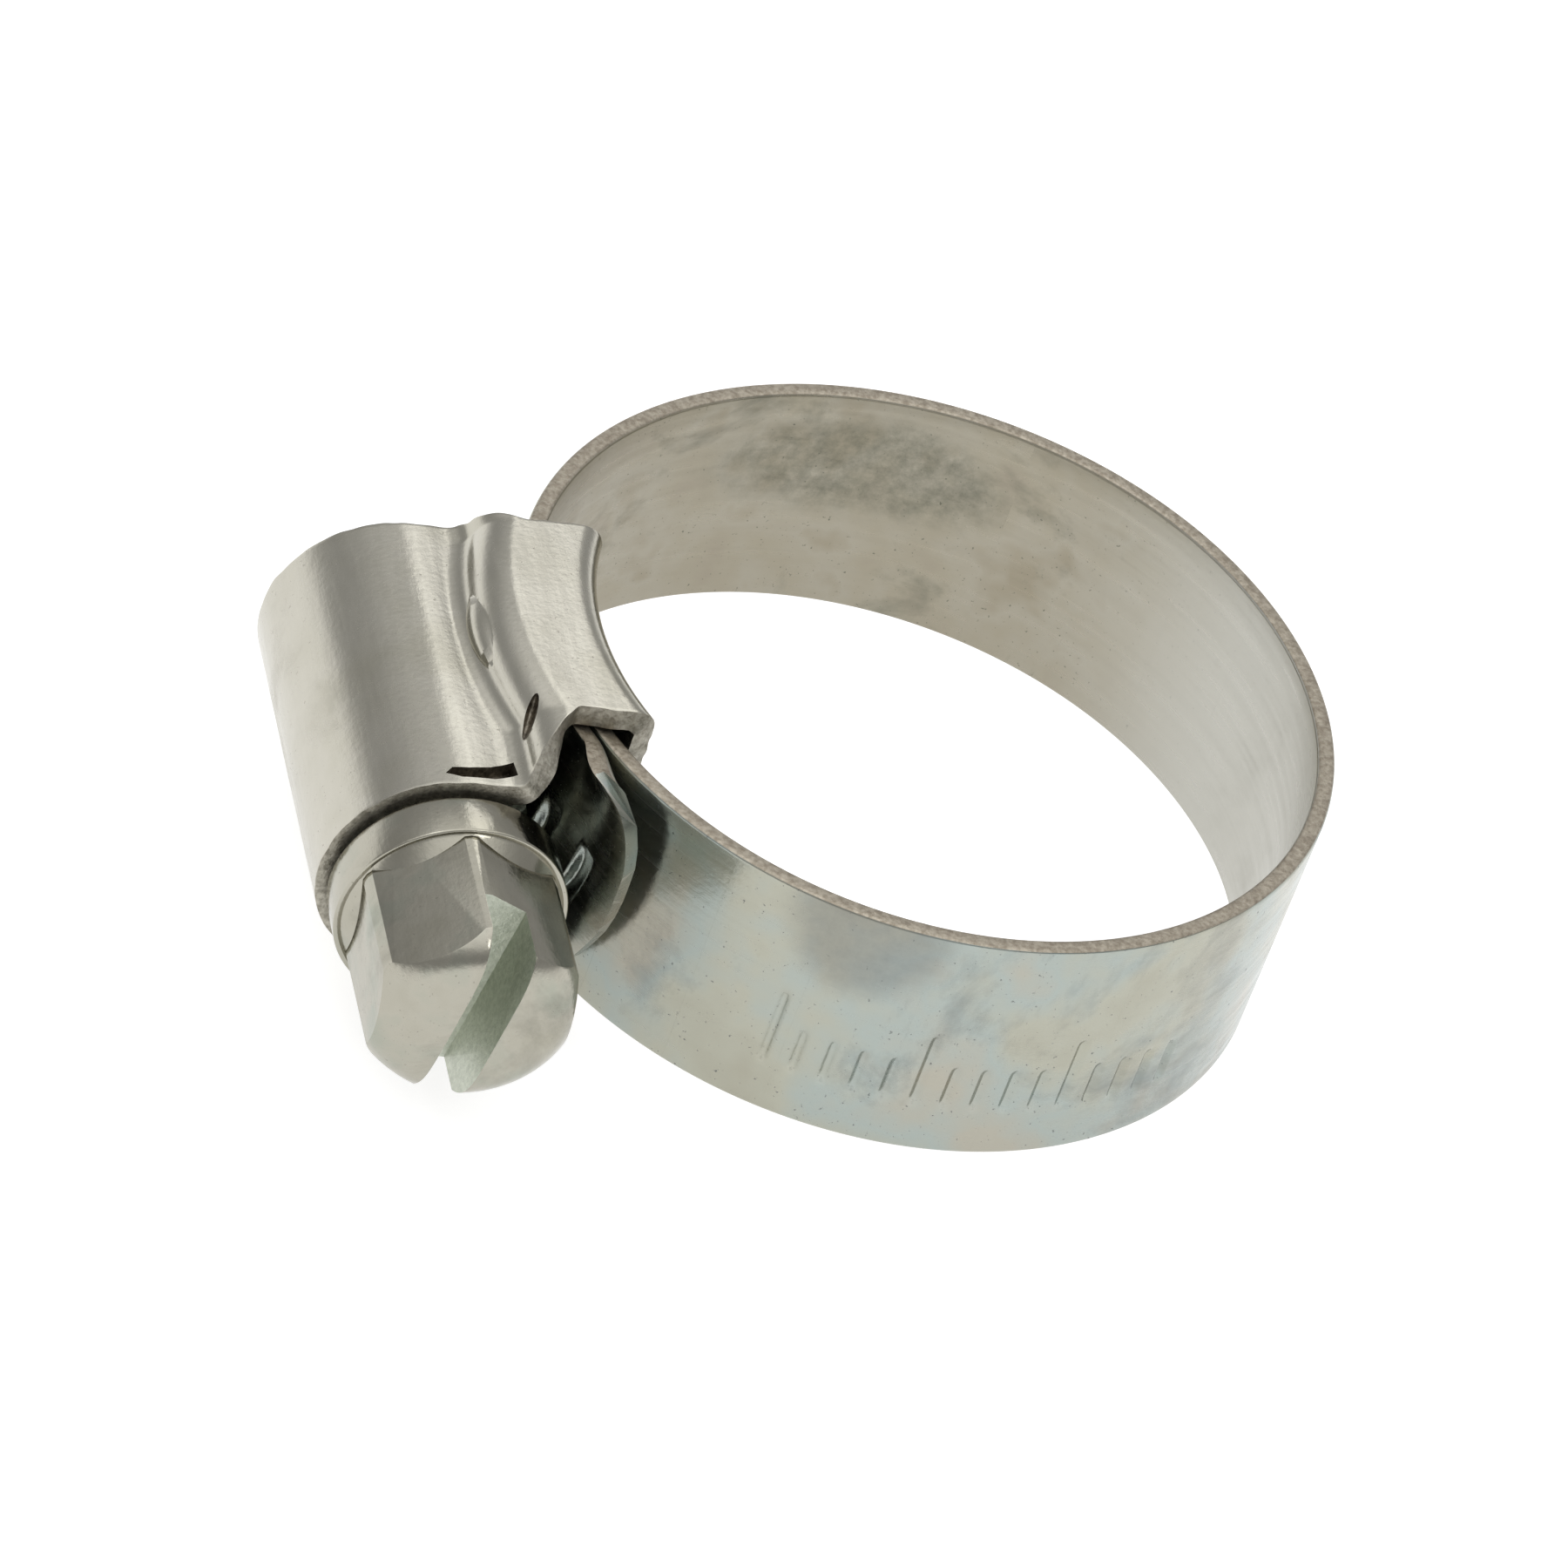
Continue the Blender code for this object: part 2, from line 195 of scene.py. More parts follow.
# %% Make the floor, the room and the lamps
FLOOR_GLOW = 0.72
floor_paint, floor_tree, paper = new_material("matt white paper")
fill(floor_tree, paper, {
    "Base Color": linear("#CCCCCC"), "Roughness": 0.9, "Specular IOR Level": 0.0,
    "Emission Color": (1.0, 1.0, 1.0, 1.0), "Emission Strength": FLOOR_GLOW})

floor_shape = bmesh.new()
bmesh.ops.create_circle(floor_shape, cap_ends=True, segments=64, radius=1.5)
floor_mesh = bpy.data.meshes.new("floor")
floor_shape.to_mesh(floor_mesh)
floor_shape.free()
floor_mesh.materials.append(floor_paint)
floor = bpy.data.objects.new("floor", floor_mesh)
bpy.context.scene.collection.objects.link(floor)

ROOM_TONES = ((-0.02, 1.3), (0.08, 1.2), (0.2, 0.68), (0.33, 0.44), (0.62, 0.55), (0.76, 1.0),
              (1.0, 1.5))
world = bpy.data.worlds.new("studio")
world.use_nodes = True
bpy.context.scene.world = world
room = world.node_tree
direction = add(room, "ShaderNodeTexCoord").outputs["Generated"]
rise = add(room, "ShaderNodeSeparateXYZ", {"Vector": direction}).outputs["Z"]
tone = add(room, "ShaderNodeFloatCurve", {"Value": rise})
tone.mapping.clip_max_y = 2.0
draw_curve(tone, ROOM_TONES)
fill(room, room.nodes["Background"], {"Strength": tone, "Color": (1.0, 1.0, 1.0, 1.0)})


def soft_lamp(name, azimuth, elevation, distance, size, power):
    """Square lamp that faces the clamp from a direction."""
    direction = compass(azimuth, elevation)
    lamp = bpy.data.objects.new(name, bpy.data.lights.new(name, "AREA"))
    lamp.data.size = size
    lamp.data.energy = power
    lamp.location = CENTRE + direction * distance
    lamp.rotation_euler = direction.to_track_quat("Z", "Y").to_euler()
    bpy.context.scene.collection.objects.link(lamp)


soft_lamp("lamp behind", 158.0, 44.0, 0.9, 0.24, 0.22)
soft_lamp("lamp above", -100.0, 66.0, 0.9, 0.16, 0.25)
soft_lamp("lamp front", 26.0, 50.0, 0.9, 0.2, 0.36)
bpy.context.scene.view_settings.view_transform = "Standard"
print("floor, room and lamps are ready")

# %% [markdown]
# ## Zinc plate
# All three pieces are steel with a bright zinc plate. Zinc is a slightly blue-grey metal, and its
# clear passivation adds a faint yellow and green. To the eye it is a soft mirror: it blurs what
# it reflects, and carries cloudy stains, fine specks and scratches from handling. One function
# makes all of them, because only their colours, sharpness and pattern sizes differ. The real
# specks and scratches are finer than a tenth of a millimetre, so both are drawn coarser to show.

# %% Build a plated finish
# The same function also paints light: a dark reflection spot on the band's outside, and a pale
# reflection inside the loop.
TONES_FROM = 0.3
TONES_SPAN = 0.4
CLOUD_SHARE = (0.54, 0.78)
SPECK_SHARE = (0.68, 0.76)
PATCH_FADE = (1.1, 1.75)
GRIT_SHARE = (0.35, 0.65)
GRIT_MM = 0.625
STAIN_BLUR = 0.18
SKIN_MM = 0.2
SKIN_DEPTH = 0.02


def plated_steel(name, tones, stain_and_reflection_tone, roughness, cloud_mm, speck_mm, scratch_mm, grain, along=None,
                 patch_at=None, bright=None):
    """Metal whose colour drifts between tones, with stains, specks and directional scratches.

    The dark tone and its share colour stains and specks, and also paint a reflection spot.
    roughness is a least and a most, and grain stretches the scratches. patch_at is one darker
    spot: middle, size, strength and how solid it is. bright is a colour that takes over between
    two angles round the loop, as a painted reflection.
    """
    material, tree, shader = new_material(name)
    where = add(tree, "ShaderNodeTexCoord").outputs["Object"]
    mm = add(tree, VECTORS, {0: where, "Scale": 1 / MM}, operation="SCALE")

    drift = add(tree, NOISE, {"Vector": mm, "Scale": 1 / cloud_mm, "Detail": 3.0,
                              "Roughness": 0.55})
    colour = add(tree, "ShaderNodeValToRGB", {"Fac": drift})
    ramp = colour.color_ramp
    for index, tone in enumerate(tones):
        place = TONES_FROM + TONES_SPAN * index / (len(tones) - 1)
        stop = ramp.elements[index] if index < 2 else ramp.elements.new(place)
        stop.position = place
        stop.color = linear(tone)

    patch = add(tree, NOISE, {"Vector": mm, "Scale": 0.6 / cloud_mm, "Detail": 6.0,
                              "Roughness": 0.68, "Distortion": 0.4})
    fleck = add(tree, NOISE, {"Vector": mm, "Scale": 1 / speck_mm, "Detail": 2.0})
    look = chain(tree, {"patch": patch, "fleck": fleck, "run": mm}, (
        ("cloud", RANGE, "LINEAR", "patch", *CLOUD_SHARE, 0.0, 1.0),
        ("speck", RANGE, "LINEAR", "fleck", *SPECK_SHARE, 0.0, 1.0),
        ("dirt", MATH, "MAXIMUM", "cloud", "speck")))
    if along:
        length = add(tree, "ShaderNodeAttribute", attribute_name=along).outputs["Fac"]
        height = add(tree, "ShaderNodeSeparateXYZ", {"Vector": mm}).outputs["Z"]
        look["run"] = add(tree, "ShaderNodeCombineXYZ", {"X": length, "Y": height})
    # The patch is one darker spot in the dark tone: a stained spot inside the loop, and a painted
    # reflection on the band's outside.
    if patch_at:
        look["grit"] = add(tree, NOISE, {"Vector": mm, "Scale": 1 / GRIT_MM, "Detail": 8.0,
                                         "Roughness": 0.75})
        chain(tree, look, (
            ("away", VECTORS, "SUBTRACT", "run", patch_at[0]),
            ("shrunk", VECTORS, "DIVIDE", "away", patch_at[1]),
            ("size", VECTORS, "LENGTH", "shrunk")))
        look["far"] = look["size"].outputs["Value"]
        chain(tree, look, (
            ("wavy", MATH, "ADD", "far", "patch"),
            ("near", RANGE, "SMOOTHSTEP", "wavy", *PATCH_FADE, patch_at[2], 0.0),
            ("broken", RANGE, "LINEAR", "grit", *GRIT_SHARE, patch_at[3], 1.0),
            ("gritty", MATH, "MULTIPLY", "near", "broken"),
            ("dirt", MATH, "MAXIMUM", "dirt", "gritty")))
    chain(tree, look, (
        ("share", MATH, "MULTIPLY", "dirt", stain_and_reflection_tone[1]),
        ("grime", MATH, "MULTIPLY", "dirt", STAIN_BLUR),
        ("stretch", VECTORS, "MULTIPLY", "run", grain)))
    tint = add(tree, "ShaderNodeMix", {"Factor": look["share"], "A": colour,
                                       "B": linear(stain_and_reflection_tone[0])}, data_type="RGBA").outputs["Result"]
    # bright paints a reflection: a paler tone that takes over between two angles round the loop.
    if bright:
        look["turn"] = add(tree, "ShaderNodeAttribute", attribute_name="angle").outputs["Fac"]
        chain(tree, look, (
            ("whole", MATH, "FLOORED_MODULO", "turn", 360.0),
            ("clean", RANGE, "SMOOTHSTEP", "whole", bright[1], bright[2], 1.0, 0.0)))
        tint = add(tree, "ShaderNodeMix", {"Factor": look["clean"], "A": tint,
                                           "B": linear(bright[0])},
                   data_type="RGBA").outputs["Result"]

    look["lines"] = add(tree, NOISE, {"Vector": look["stretch"], "Scale": 1 / scratch_mm,
                                      "Detail": 4.0, "Roughness": 0.6})
    look["skin"] = add(tree, NOISE, {"Vector": mm, "Scale": 1 / SKIN_MM, "Detail": 3.0})
    chain(tree, look, (
        ("blur", RANGE, "LINEAR", "lines", 0.3, 0.75, *roughness),
        ("total", MATH, "ADD", "blur", "grime"),
        ("relief", MATH, "ADD", "lines", "skin")))
    bump = add(tree, "ShaderNodeBump", {"Height": look["relief"], "Strength": 0.25,
                                        "Distance": SKIN_DEPTH * MM})
    fill(tree, shader, {"Metallic": 1.0, "Base Color": tint, "Roughness": look["total"],
                        "Normal": bump})
    print("finish", name, "with", len(tree.nodes), "nodes")
    return material


# Rolled strip: scratches run along it, and the passivation drifts between blue and straw.
band_zinc = plated_steel(
    "zinc plate on rolled strip", ("#A19F91", "#A8A89B", "#A1A9A4", "#A9A69A"),
    ("#5F6162", 0.75), (0.17, 0.32), 5.0, 0.14, 0.3, (0.03, 1.0, 1.0), "along",
    # patch_at paints a reflection: a dark spot on the band's outside, in the dark tone above.
    patch_at=((16.2, 9.1, 0.0), (2.6, 2.3, 1.0), 0.62, 0.75))
# Inside of the loop: rubbed dull and brown, with one grey stained spot. Its tones are darker as
# painted shade.
inner_zinc = plated_steel(
    "dull zinc plate inside the strip", ("#989182", "#9C9686", "#A09B8D", "#958E7D"),
    ("#6C6D60", 0.9), (0.24, 0.4), 3.2, 0.12, 0.35, (0.05, 1.0, 1.0), "along",
    # The paler tone from 196 to 236 degrees, on the loop's open side, is a painted reflection.
    patch_at=((-21.5, 7.0, 0.0), (5.2, 2.0, 1.0), 0.75, 0.15), bright=("#B9B8B0", 196.0, 236.0))
# Pressed sheet: the press has polished it, so it is the lightest and cleanest of them.
housing_zinc = plated_steel(
    "zinc plate on pressed sheet", ("#B3B0A4", "#B8B5AA", "#B0ADA0"),
    ("#8D8A7E", 0.4), (0.18, 0.28), 4.0, 0.16, 0.3, (1.0, 0.12, 1.0))
# Forged and turned screw: the smoothest face, so it mirrors the room in clear patches.
screw_zinc = plated_steel(
    "zinc plate on forged screw", ("#A09D90", "#A8A599", "#9C9F93"),
    ("#6F6E64", 0.6), (0.1, 0.2), 2.4, 0.12, 0.25, (1.0, 0.2, 1.0))

# %% [markdown]
# ## Cut steel
# The strip and the housing's sheet were cut in a press. A sheared edge is part smooth and part
# torn, so it is rougher and browner than the faces beside it. The driver slot was milled before
# plating, so it is matt too, but pale and a little green. One grainy finish gives all of these.

# %% Build the cut finishes
TEAR_MM = 0.2
TEAR_DEPTH = 0.05


def cut_steel(name, bright, dark):
    """Matt grainy metal that is mixed from two tones."""
    material, tree, shader = new_material(name)
    where = add(tree, "ShaderNodeTexCoord").outputs["Object"]
    mm = add(tree, VECTORS, {0: where, "Scale": 1 / MM}, operation="SCALE")
    torn = add(tree, NOISE, {"Vector": mm, "Scale": 1 / TEAR_MM, "Detail": 5.0,
                             "Roughness": 0.7})
    level = add(tree, RANGE, {"Value": torn, "From Min": 0.38, "From Max": 0.62})
    tint = add(tree, "ShaderNodeMix", {"Factor": level, "A": linear(bright), "B": linear(dark)},
               data_type="RGBA")
    bump = add(tree, "ShaderNodeBump", {"Height": torn, "Strength": 0.6,
                                        "Distance": TEAR_DEPTH * MM})
    fill(tree, shader, {"Metallic": 1.0, "Base Color": tint.outputs["Result"],
                        "Roughness": 0.42, "Normal": bump})
    print("finish", name)
    return material


band_edge = cut_steel("sheared edge of the strip", "#B5AD9E", "#91887A")
sheet_edge = cut_steel("sheared edge of the sheet", "#B4B0A4", "#89857A")
torn_steel = cut_steel("torn steel in the press cuts", "#9A9386", "#5E584E")
milled_slot = cut_steel("milled driver slot", "#C9CDC0", "#B4B9AC")

# %% [markdown]
# ## From tree to mesh
# Geometry Nodes are good at shapes that follow a rule. Their result is turned into a plain mesh
# here, because every finished piece has to be a mesh in its final place, with no live modifier.


# %% Helpers for trees and meshes
def new_tree(name, sizes):
    """Start a Geometry Nodes tree with a mesh in, a mesh out and one input for each size."""
    tree = bpy.data.node_groups.new(name, "GeometryNodeTree")
    tree.interface.new_socket("Geometry", in_out="INPUT", socket_type="NodeSocketGeometry")
    tree.interface.new_socket("Geometry", in_out="OUTPUT", socket_type="NodeSocketGeometry")
    for label, kind in sizes.items():
        tree.interface.new_socket(label, in_out="INPUT", socket_type="NodeSocket" + kind)
    return tree, add(tree, "NodeGroupInput").outputs


def close_tree(tree, mesh, finish):
    """End a tree as the export needs it: real geometry with a material."""
    real = add(tree, "GeometryNodeRealizeInstances", {0: mesh})
    dressed = add(tree, "GeometryNodeSetMaterial", {"Geometry": real, "Material": finish})
    add(tree, "NodeGroupOutput", {0: dressed})
    print("tree", tree.name, "has", len(tree.nodes), "nodes")


def grow(item, tree, sizes):
    """Put a tree on an object, and set each input by its socket's identifier."""
    modifier = item.modifiers.new(tree.name, "NODES")
    modifier.node_group = tree
    for socket in tree.interface.items_tree:
        if socket.in_out == "INPUT" and socket.name in sizes:
            modifier[socket.identifier] = sizes[socket.name]


def new_item(name, shape=None):
    """Object for a shape drawn in millimetres about the loop's middle."""
    mesh = bpy.data.meshes.new(name)
    if shape is not None:
        bmesh.ops.scale(shape, verts=shape.verts, vec=(MM, MM, MM))
        bmesh.ops.translate(shape, verts=shape.verts, vec=CENTRE)
        shape.to_mesh(mesh)
        shape.free()
    item = bpy.data.objects.new(name, mesh)
    bpy.context.scene.collection.objects.link(item)
    return item


MANY_SIDES = 12


def settle(item, sharp=35.0):
    """Turn an object and its modifiers into one plain closed mesh with tidy shading.

    A face with many sides may be bent, as at the tail's tip, so it is split into triangles.
    """
    graph = bpy.context.evaluated_depsgraph_get()
    mesh = bpy.data.meshes.new_from_object(item.evaluated_get(graph))
    item.modifiers.clear()
    item.data = mesh
    shape = bmesh.new()
    shape.from_mesh(mesh)
    if shape.calc_volume(signed=True) < 0:
        bmesh.ops.reverse_faces(shape, faces=shape.faces)
    caps = [face for face in shape.faces if len(face.verts) > MANY_SIDES]
    bmesh.ops.triangulate(shape, faces=caps, ngon_method="BEAUTY")
    open_edges = sum(1 for edge in shape.edges if not edge.is_manifold)
    shape.to_mesh(mesh)
    shape.free()
    mesh.shade_smooth()
    mesh.set_sharp_from_angle(angle=math.radians(sharp))
    print(item.name, len(mesh.polygons), "faces,", open_edges, "open edges")


# %% [markdown]
# ## The band as a swept strip
# The band is one strip of steel with a rounded-off edge. It could be a solidified plane, but then
# the edges would need a bevel that also bites into the joins. Sweeping a cross-section along the
# loop gives the edge its shape and leaves the joins clean. The loop's radius is a rule: it steps
# out smoothly by one lap, from the mouth in the housing to the tail that lies over it.

# %% Draw the strip's cross-section
EDGE_ROUND = 0.13
EDGE_STEPS = 4


def strip_section(name, outside_rows, inside_rows):
    """Closed outline of the strip: thickness along X, width along Y."""
    half_x, half_y = BAND_THICKNESS / 2, BAND_WIDTH / 2
    flat = half_y - EDGE_ROUND
    points = [(half_x, -flat + 2 * flat * row / outside_rows) for row in range(outside_rows)]
    for corner in range(4):
        sign_x, sign_y = ((1, 1), (-1, 1), (-1, -1), (1, -1))[corner]
        for step in range(EDGE_STEPS + 1):
            turn = math.radians(90 * corner + 90 * step / EDGE_STEPS)
            points.append((sign_x * (half_x - EDGE_ROUND) + EDGE_ROUND * math.cos(turn),
                           sign_y * flat + EDGE_ROUND * math.sin(turn)))
        if corner == 1:
            points += [(-half_x, flat - 2 * flat * row / inside_rows)
                       for row in range(1, inside_rows)]
    curve = bpy.data.curves.new(name, "CURVE")
    spline = curve.splines.new("POLY")
    spline.points.add(len(points) - 2)
    for point, (x, y) in zip(spline.points, points[:-1]):
        point.co = (x, y, 0.0, 1.0)
    spline.use_cyclic_u = True
    section = bpy.data.objects.new(name, curve)
    print("section", name, "has", len(points) - 1, "points")
    return section


plain_section = strip_section("plain strip section", 12, 12)
fine_section = strip_section("fine strip section", 64, 12)

# %% Build the strip tree
strip_tree, strip_in = new_tree("swept band strip", {
    "Section": "Object", "Start": "Float", "End": "Float", "Steps": "Int",
    "Ease Start": "Float", "Ease End": "Float", "Near Radius": "Float", "Far Radius": "Float",
    "Tip Cut": "Float", "Centre": "Vector"})
line = add(strip_tree, "GeometryNodeResampleCurve",
           {"Curve": add(strip_tree, "GeometryNodeCurvePrimitiveLine"),
            "Count": strip_in["Steps"]})
sweep = dict(strip_in.items())
sweep["share"] = add(strip_tree, "GeometryNodeSplineParameter")
chain(strip_tree, sweep, (
    ("angle", RANGE, "LINEAR", "share", 0.0, 1.0, "Start", "End"),
    ("reach", RANGE, "SMOOTHSTEP", "angle", "Ease Start", "Ease End", "Near Radius",
     "Far Radius"),
    ("turn", MATH, "RADIANS", "angle"),
    ("cosine", MATH, "COSINE", "turn"),
    ("sine", MATH, "SINE", "turn"),
    ("minus", MATH, "MULTIPLY", "reach", -1.0),
    ("arc", MATH, "MULTIPLY", "turn", MOUTH_RADIUS)))
spoke = add(strip_tree, "ShaderNodeCombineXYZ", {"X": sweep["cosine"], "Y": sweep["sine"]})
rim = add(strip_tree, VECTORS, {0: spoke, "Scale": sweep["minus"]}, operation="SCALE")
loop = add(strip_tree, "GeometryNodeSetPosition", {"Geometry": line, "Position": rim})
for label, value in (("angle", "angle"), ("along", "arc"), ("middle", "reach")):
    loop = add(strip_tree, "GeometryNodeStoreNamedAttribute",
               {"Geometry": loop, "Name": label, "Value": sweep[value]})
section = add(strip_tree, "GeometryNodeObjectInfo", {"Object": strip_in["Section"]})
swept = add(strip_tree, "GeometryNodeCurveToMesh", {
    "Curve": loop, "Profile Curve": section.outputs["Geometry"], "Fill Caps": True})
print("strip tree so far", len(strip_tree.nodes), "nodes")

# %% [markdown]
# ## The shape of the tail's tip
# The strip's end isn't cut square. A tongue with one clipped and one rounded corner is easier to
# thread under the screw. A curve widget gives, for each height on the strip, how far the end is
# pulled back, and the pull fades out over the last part of the tail.

# %% Shape the tip and finish the strip tree
TIP_PULL = ((0.0, 0.92), (0.16, 0.45), (0.33, 0.17), (0.52, 0.02), (0.8, 0.04), (1.0, 0.8))
TIP_PULL_SCALE = 12.0
TIP_FADE = 24.0

here = add(strip_tree, "GeometryNodeInputPosition")
tip = dict(strip_in.items())
tip["height"] = add(strip_tree, "ShaderNodeSeparateXYZ", {"Vector": here}).outputs["Z"]
tip["stored"] = add(strip_tree, ATTRIBUTE, {"Name": "angle"}).outputs["Attribute"]
chain(strip_tree, tip, (
    ("level", RANGE, "LINEAR", "height", -BAND_WIDTH / 2, BAND_WIDTH / 2, 0.0, 1.0),
    ("fade start", MATH, "SUBTRACT", "End", TIP_FADE),
    ("fade", RANGE, "LINEAR", "stored", "fade start", "End", 0.0, "Tip Cut")))
tip["pull"] = add(strip_tree, "ShaderNodeFloatCurve", {"Value": tip["level"]})
draw_curve(tip["pull"], TIP_PULL)
chain(strip_tree, tip, (
    ("back", MATH, "MULTIPLY", "pull", "fade"),
    ("degrees", MATH, "MULTIPLY", "back", -TIP_PULL_SCALE),
    ("radians", MATH, "RADIANS", "degrees")))
swung = add(strip_tree, "ShaderNodeVectorRotate", {"Vector": here, "Angle": tip["radians"]},
            rotation_type="Z_AXIS")
tipped = add(strip_tree, "GeometryNodeSetPosition", {"Geometry": swept, "Position": swung})
moved = add(strip_tree, "GeometryNodeTransform", {
    "Geometry": tipped, "Translation": strip_in["Centre"], "Scale": (MM, MM, MM)})
close_tree(strip_tree, moved, band_zinc)

# %% [markdown]
# ## Pressed thread
# The screw bites into grooves that were pressed into the outside of the tail. They lean, because
# the screw's thread does, and their bed is round, because the screw is. Each groove is one thread
# pitch from the next, so a rule can press them all: for each point, find the nearest groove's
# middle and push the point in by the depth that the screw's roundness gives there.

# %% Press the grooves
THREAD_PITCH = 2.4
THREAD_RADIUS = 3.15
THREAD_DEPTH = 0.35
GROOVE_CLEARANCE = 0.075
GROOVE_TURN = THREAD_PITCH / (TAIL_RADIUS + BAND_THICKNESS / 2 - THREAD_DEPTH / 2)
GROOVE_LEAN = THREAD_PITCH / (2 * math.pi * (THREAD_RADIUS - THREAD_DEPTH))


def press_points(tree, mesh, centre, depth):
    """Push the outer face of the strip in by a depth in millimetres that varies over it."""
    push = {"centre": centre, "depth": depth, "here": add(tree, "GeometryNodeInputPosition"),
            "middle": add(tree, ATTRIBUTE, {"Name": "middle"}).outputs["Attribute"]}
    chain(tree, push, (
        ("apart", VECTORS, "SUBTRACT", "here", "centre"),
        ("flat", VECTORS, "MULTIPLY", "apart", (1.0, 1.0, 0.0)),
        ("length", VECTORS, "LENGTH", "flat"),
        ("outward", VECTORS, "NORMALIZE", "flat")))
    push["radius"] = push["length"].outputs["Value"]
    chain(tree, push, (
        ("metres", MATH, "MULTIPLY", "middle", MM),
        ("proud", MATH, "SUBTRACT", "radius", "metres"),
        ("outer face", MATH, "GREATER_THAN", "proud", BAND_THICKNESS / 2.2 * MM),
        ("amount", MATH, "MULTIPLY", "depth", -MM),
        ("masked", MATH, "MULTIPLY", "amount", "outer face")))
    shift = add(tree, VECTORS, {0: push["outward"], "Scale": push["masked"]}, operation="SCALE")
    return add(tree, "GeometryNodeSetPosition", {"Geometry": mesh, "Offset": shift})


def height_in_mm(tree, centre):
    """Height of a point above the middle of the strip."""
    here = add(tree, "GeometryNodeInputPosition")
    apart = add(tree, VECTORS, {0: here, 1: centre}, operation="SUBTRACT")
    rise = add(tree, "ShaderNodeSeparateXYZ", {"Vector": apart}).outputs["Z"]
    return add(tree, MATH, {0: rise, 1: 1 / MM}, operation="MULTIPLY")


TO_NEAREST = (("nearest", MATH, "ROUND", "count"), ("miss", MATH, "SUBTRACT", "count", "nearest"),
              ("side", MATH, "ABSOLUTE", "miss"))
groove_tree, groove_in = new_tree("pressed thread", {
    "First": "Float", "Last": "Float", "Width": "Float", "Wall": "Float", "Centre": "Vector"})
press = dict(groove_in.items())
press["up"] = height_in_mm(groove_tree, groove_in["Centre"])
press["angle"] = add(groove_tree, ATTRIBUTE, {"Name": "angle"}).outputs["Attribute"]
chain(groove_tree, press, (
    ("lean", MATH, "MULTIPLY", "up", GROOVE_LEAN / TAIL_RADIUS),
    ("turn", MATH, "RADIANS", "angle"),
    ("upright", MATH, "SUBTRACT", "turn", "lean"),
    ("count", MATH, "DIVIDE", "upright", GROOVE_TURN),
    *TO_NEAREST,
    ("distance", MATH, "MULTIPLY", "side", THREAD_PITCH),
    ("half", MATH, "MULTIPLY", "Width", 0.5),
    ("bottom", MATH, "SUBTRACT", "half", "Wall"),
    ("wall", RANGE, "SMOOTHSTEP", "distance", "bottom", "half", 1.0, 0.0),
    ("squared", MATH, "POWER", "up", 2.0),
    ("room", MATH, "SUBTRACT", (THREAD_RADIUS + GROOVE_CLEARANCE) ** 2, "squared"),
    ("open room", MATH, "MAXIMUM", "room", 0.0),
    ("arch", MATH, "SQRT", "open room"),
    ("bed", MATH, "SUBTRACT", "arch", SCREW_OFFSET - TAIL_RADIUS - BAND_THICKNESS / 2),
    ("deep", MATH, "MAXIMUM", "bed", 0.0),
    ("after", MATH, "GREATER_THAN", "angle", "First"),
    ("before", MATH, "LESS_THAN", "angle", "Last"),
    ("within", MATH, "MULTIPLY", "after", "before"),
    ("pressed", MATH, "MULTIPLY", "deep", "wall"),
    ("depth", MATH, "MULTIPLY", "pressed", "within")))
close_tree(groove_tree, press_points(groove_tree, groove_in["Geometry"], groove_in["Centre"],
                                     press["depth"]), band_zinc)

# %% [markdown]
# ## Stamped scale
# The outside of a clamp's band carries shallow stamped marks. Here they are a plain row of ticks,
# every fifth one longer, with no figures. They are shallow grooves in the metal, pressed with the
# same rule as the thread: the nearest tick, and how far away it is.

# %% Stamp the ticks
TICK_RUN_OUT = 0.25
tick_tree, tick_in = new_tree("stamped ticks", {
    "First": "Float", "Last": "Float", "Spacing": "Float", "Width": "Float", "Depth": "Float",
    "Foot": "Float", "Short": "Float", "Long": "Float", "Centre": "Vector"})
stamp = dict(tick_in.items())
stamp["up"] = height_in_mm(tick_tree, tick_in["Centre"])
stamp["angle"] = add(tick_tree, ATTRIBUTE, {"Name": "angle"}).outputs["Attribute"]
chain(tick_tree, stamp, (
    ("gone", MATH, "SUBTRACT", "angle", "First"),
    ("count", MATH, "DIVIDE", "gone", "Spacing"),
    *TO_NEAREST,
    ("away", MATH, "MULTIPLY", "side", "Spacing"),
    ("fifth", MATH, "FLOORED_MODULO", "nearest", 5.0),
    ("major", MATH, "LESS_THAN", "fifth", 0.5),
    ("groove", RANGE, "SMOOTHSTEP", "away", 0.0, "Width", 1.0, 0.0)))
stamp["top"] = add(tick_tree, "ShaderNodeMix", {
    "Factor": stamp["major"], "A": tick_in["Short"], "B": tick_in["Long"]}, data_type="FLOAT")
chain(tick_tree, stamp, (
    ("tip", MATH, "ADD", "top", TICK_RUN_OUT),
    ("low end", MATH, "SUBTRACT", "Foot", TICK_RUN_OUT),
    ("over", RANGE, "LINEAR", "up", "low end", "Foot", 0.0, 1.0),
    ("under", RANGE, "LINEAR", "up", "top", "tip", 1.0, 0.0),
    ("inside", MATH, "MULTIPLY", "over", "under"),
    ("started", MATH, "GREATER_THAN", "count", -0.5),
    ("ended", MATH, "LESS_THAN", "angle", "Last"),
    ("within", MATH, "MULTIPLY", "started", "ended"),
    ("cut", MATH, "MULTIPLY", "groove", "inside"),
    ("kept", MATH, "MULTIPLY", "cut", "within"),
    ("depth", MATH, "MULTIPLY", "kept", "Depth")))
close_tree(tick_tree, press_points(tick_tree, tick_in["Geometry"], tick_in["Centre"],
                                   stamp["depth"]), band_zinc)
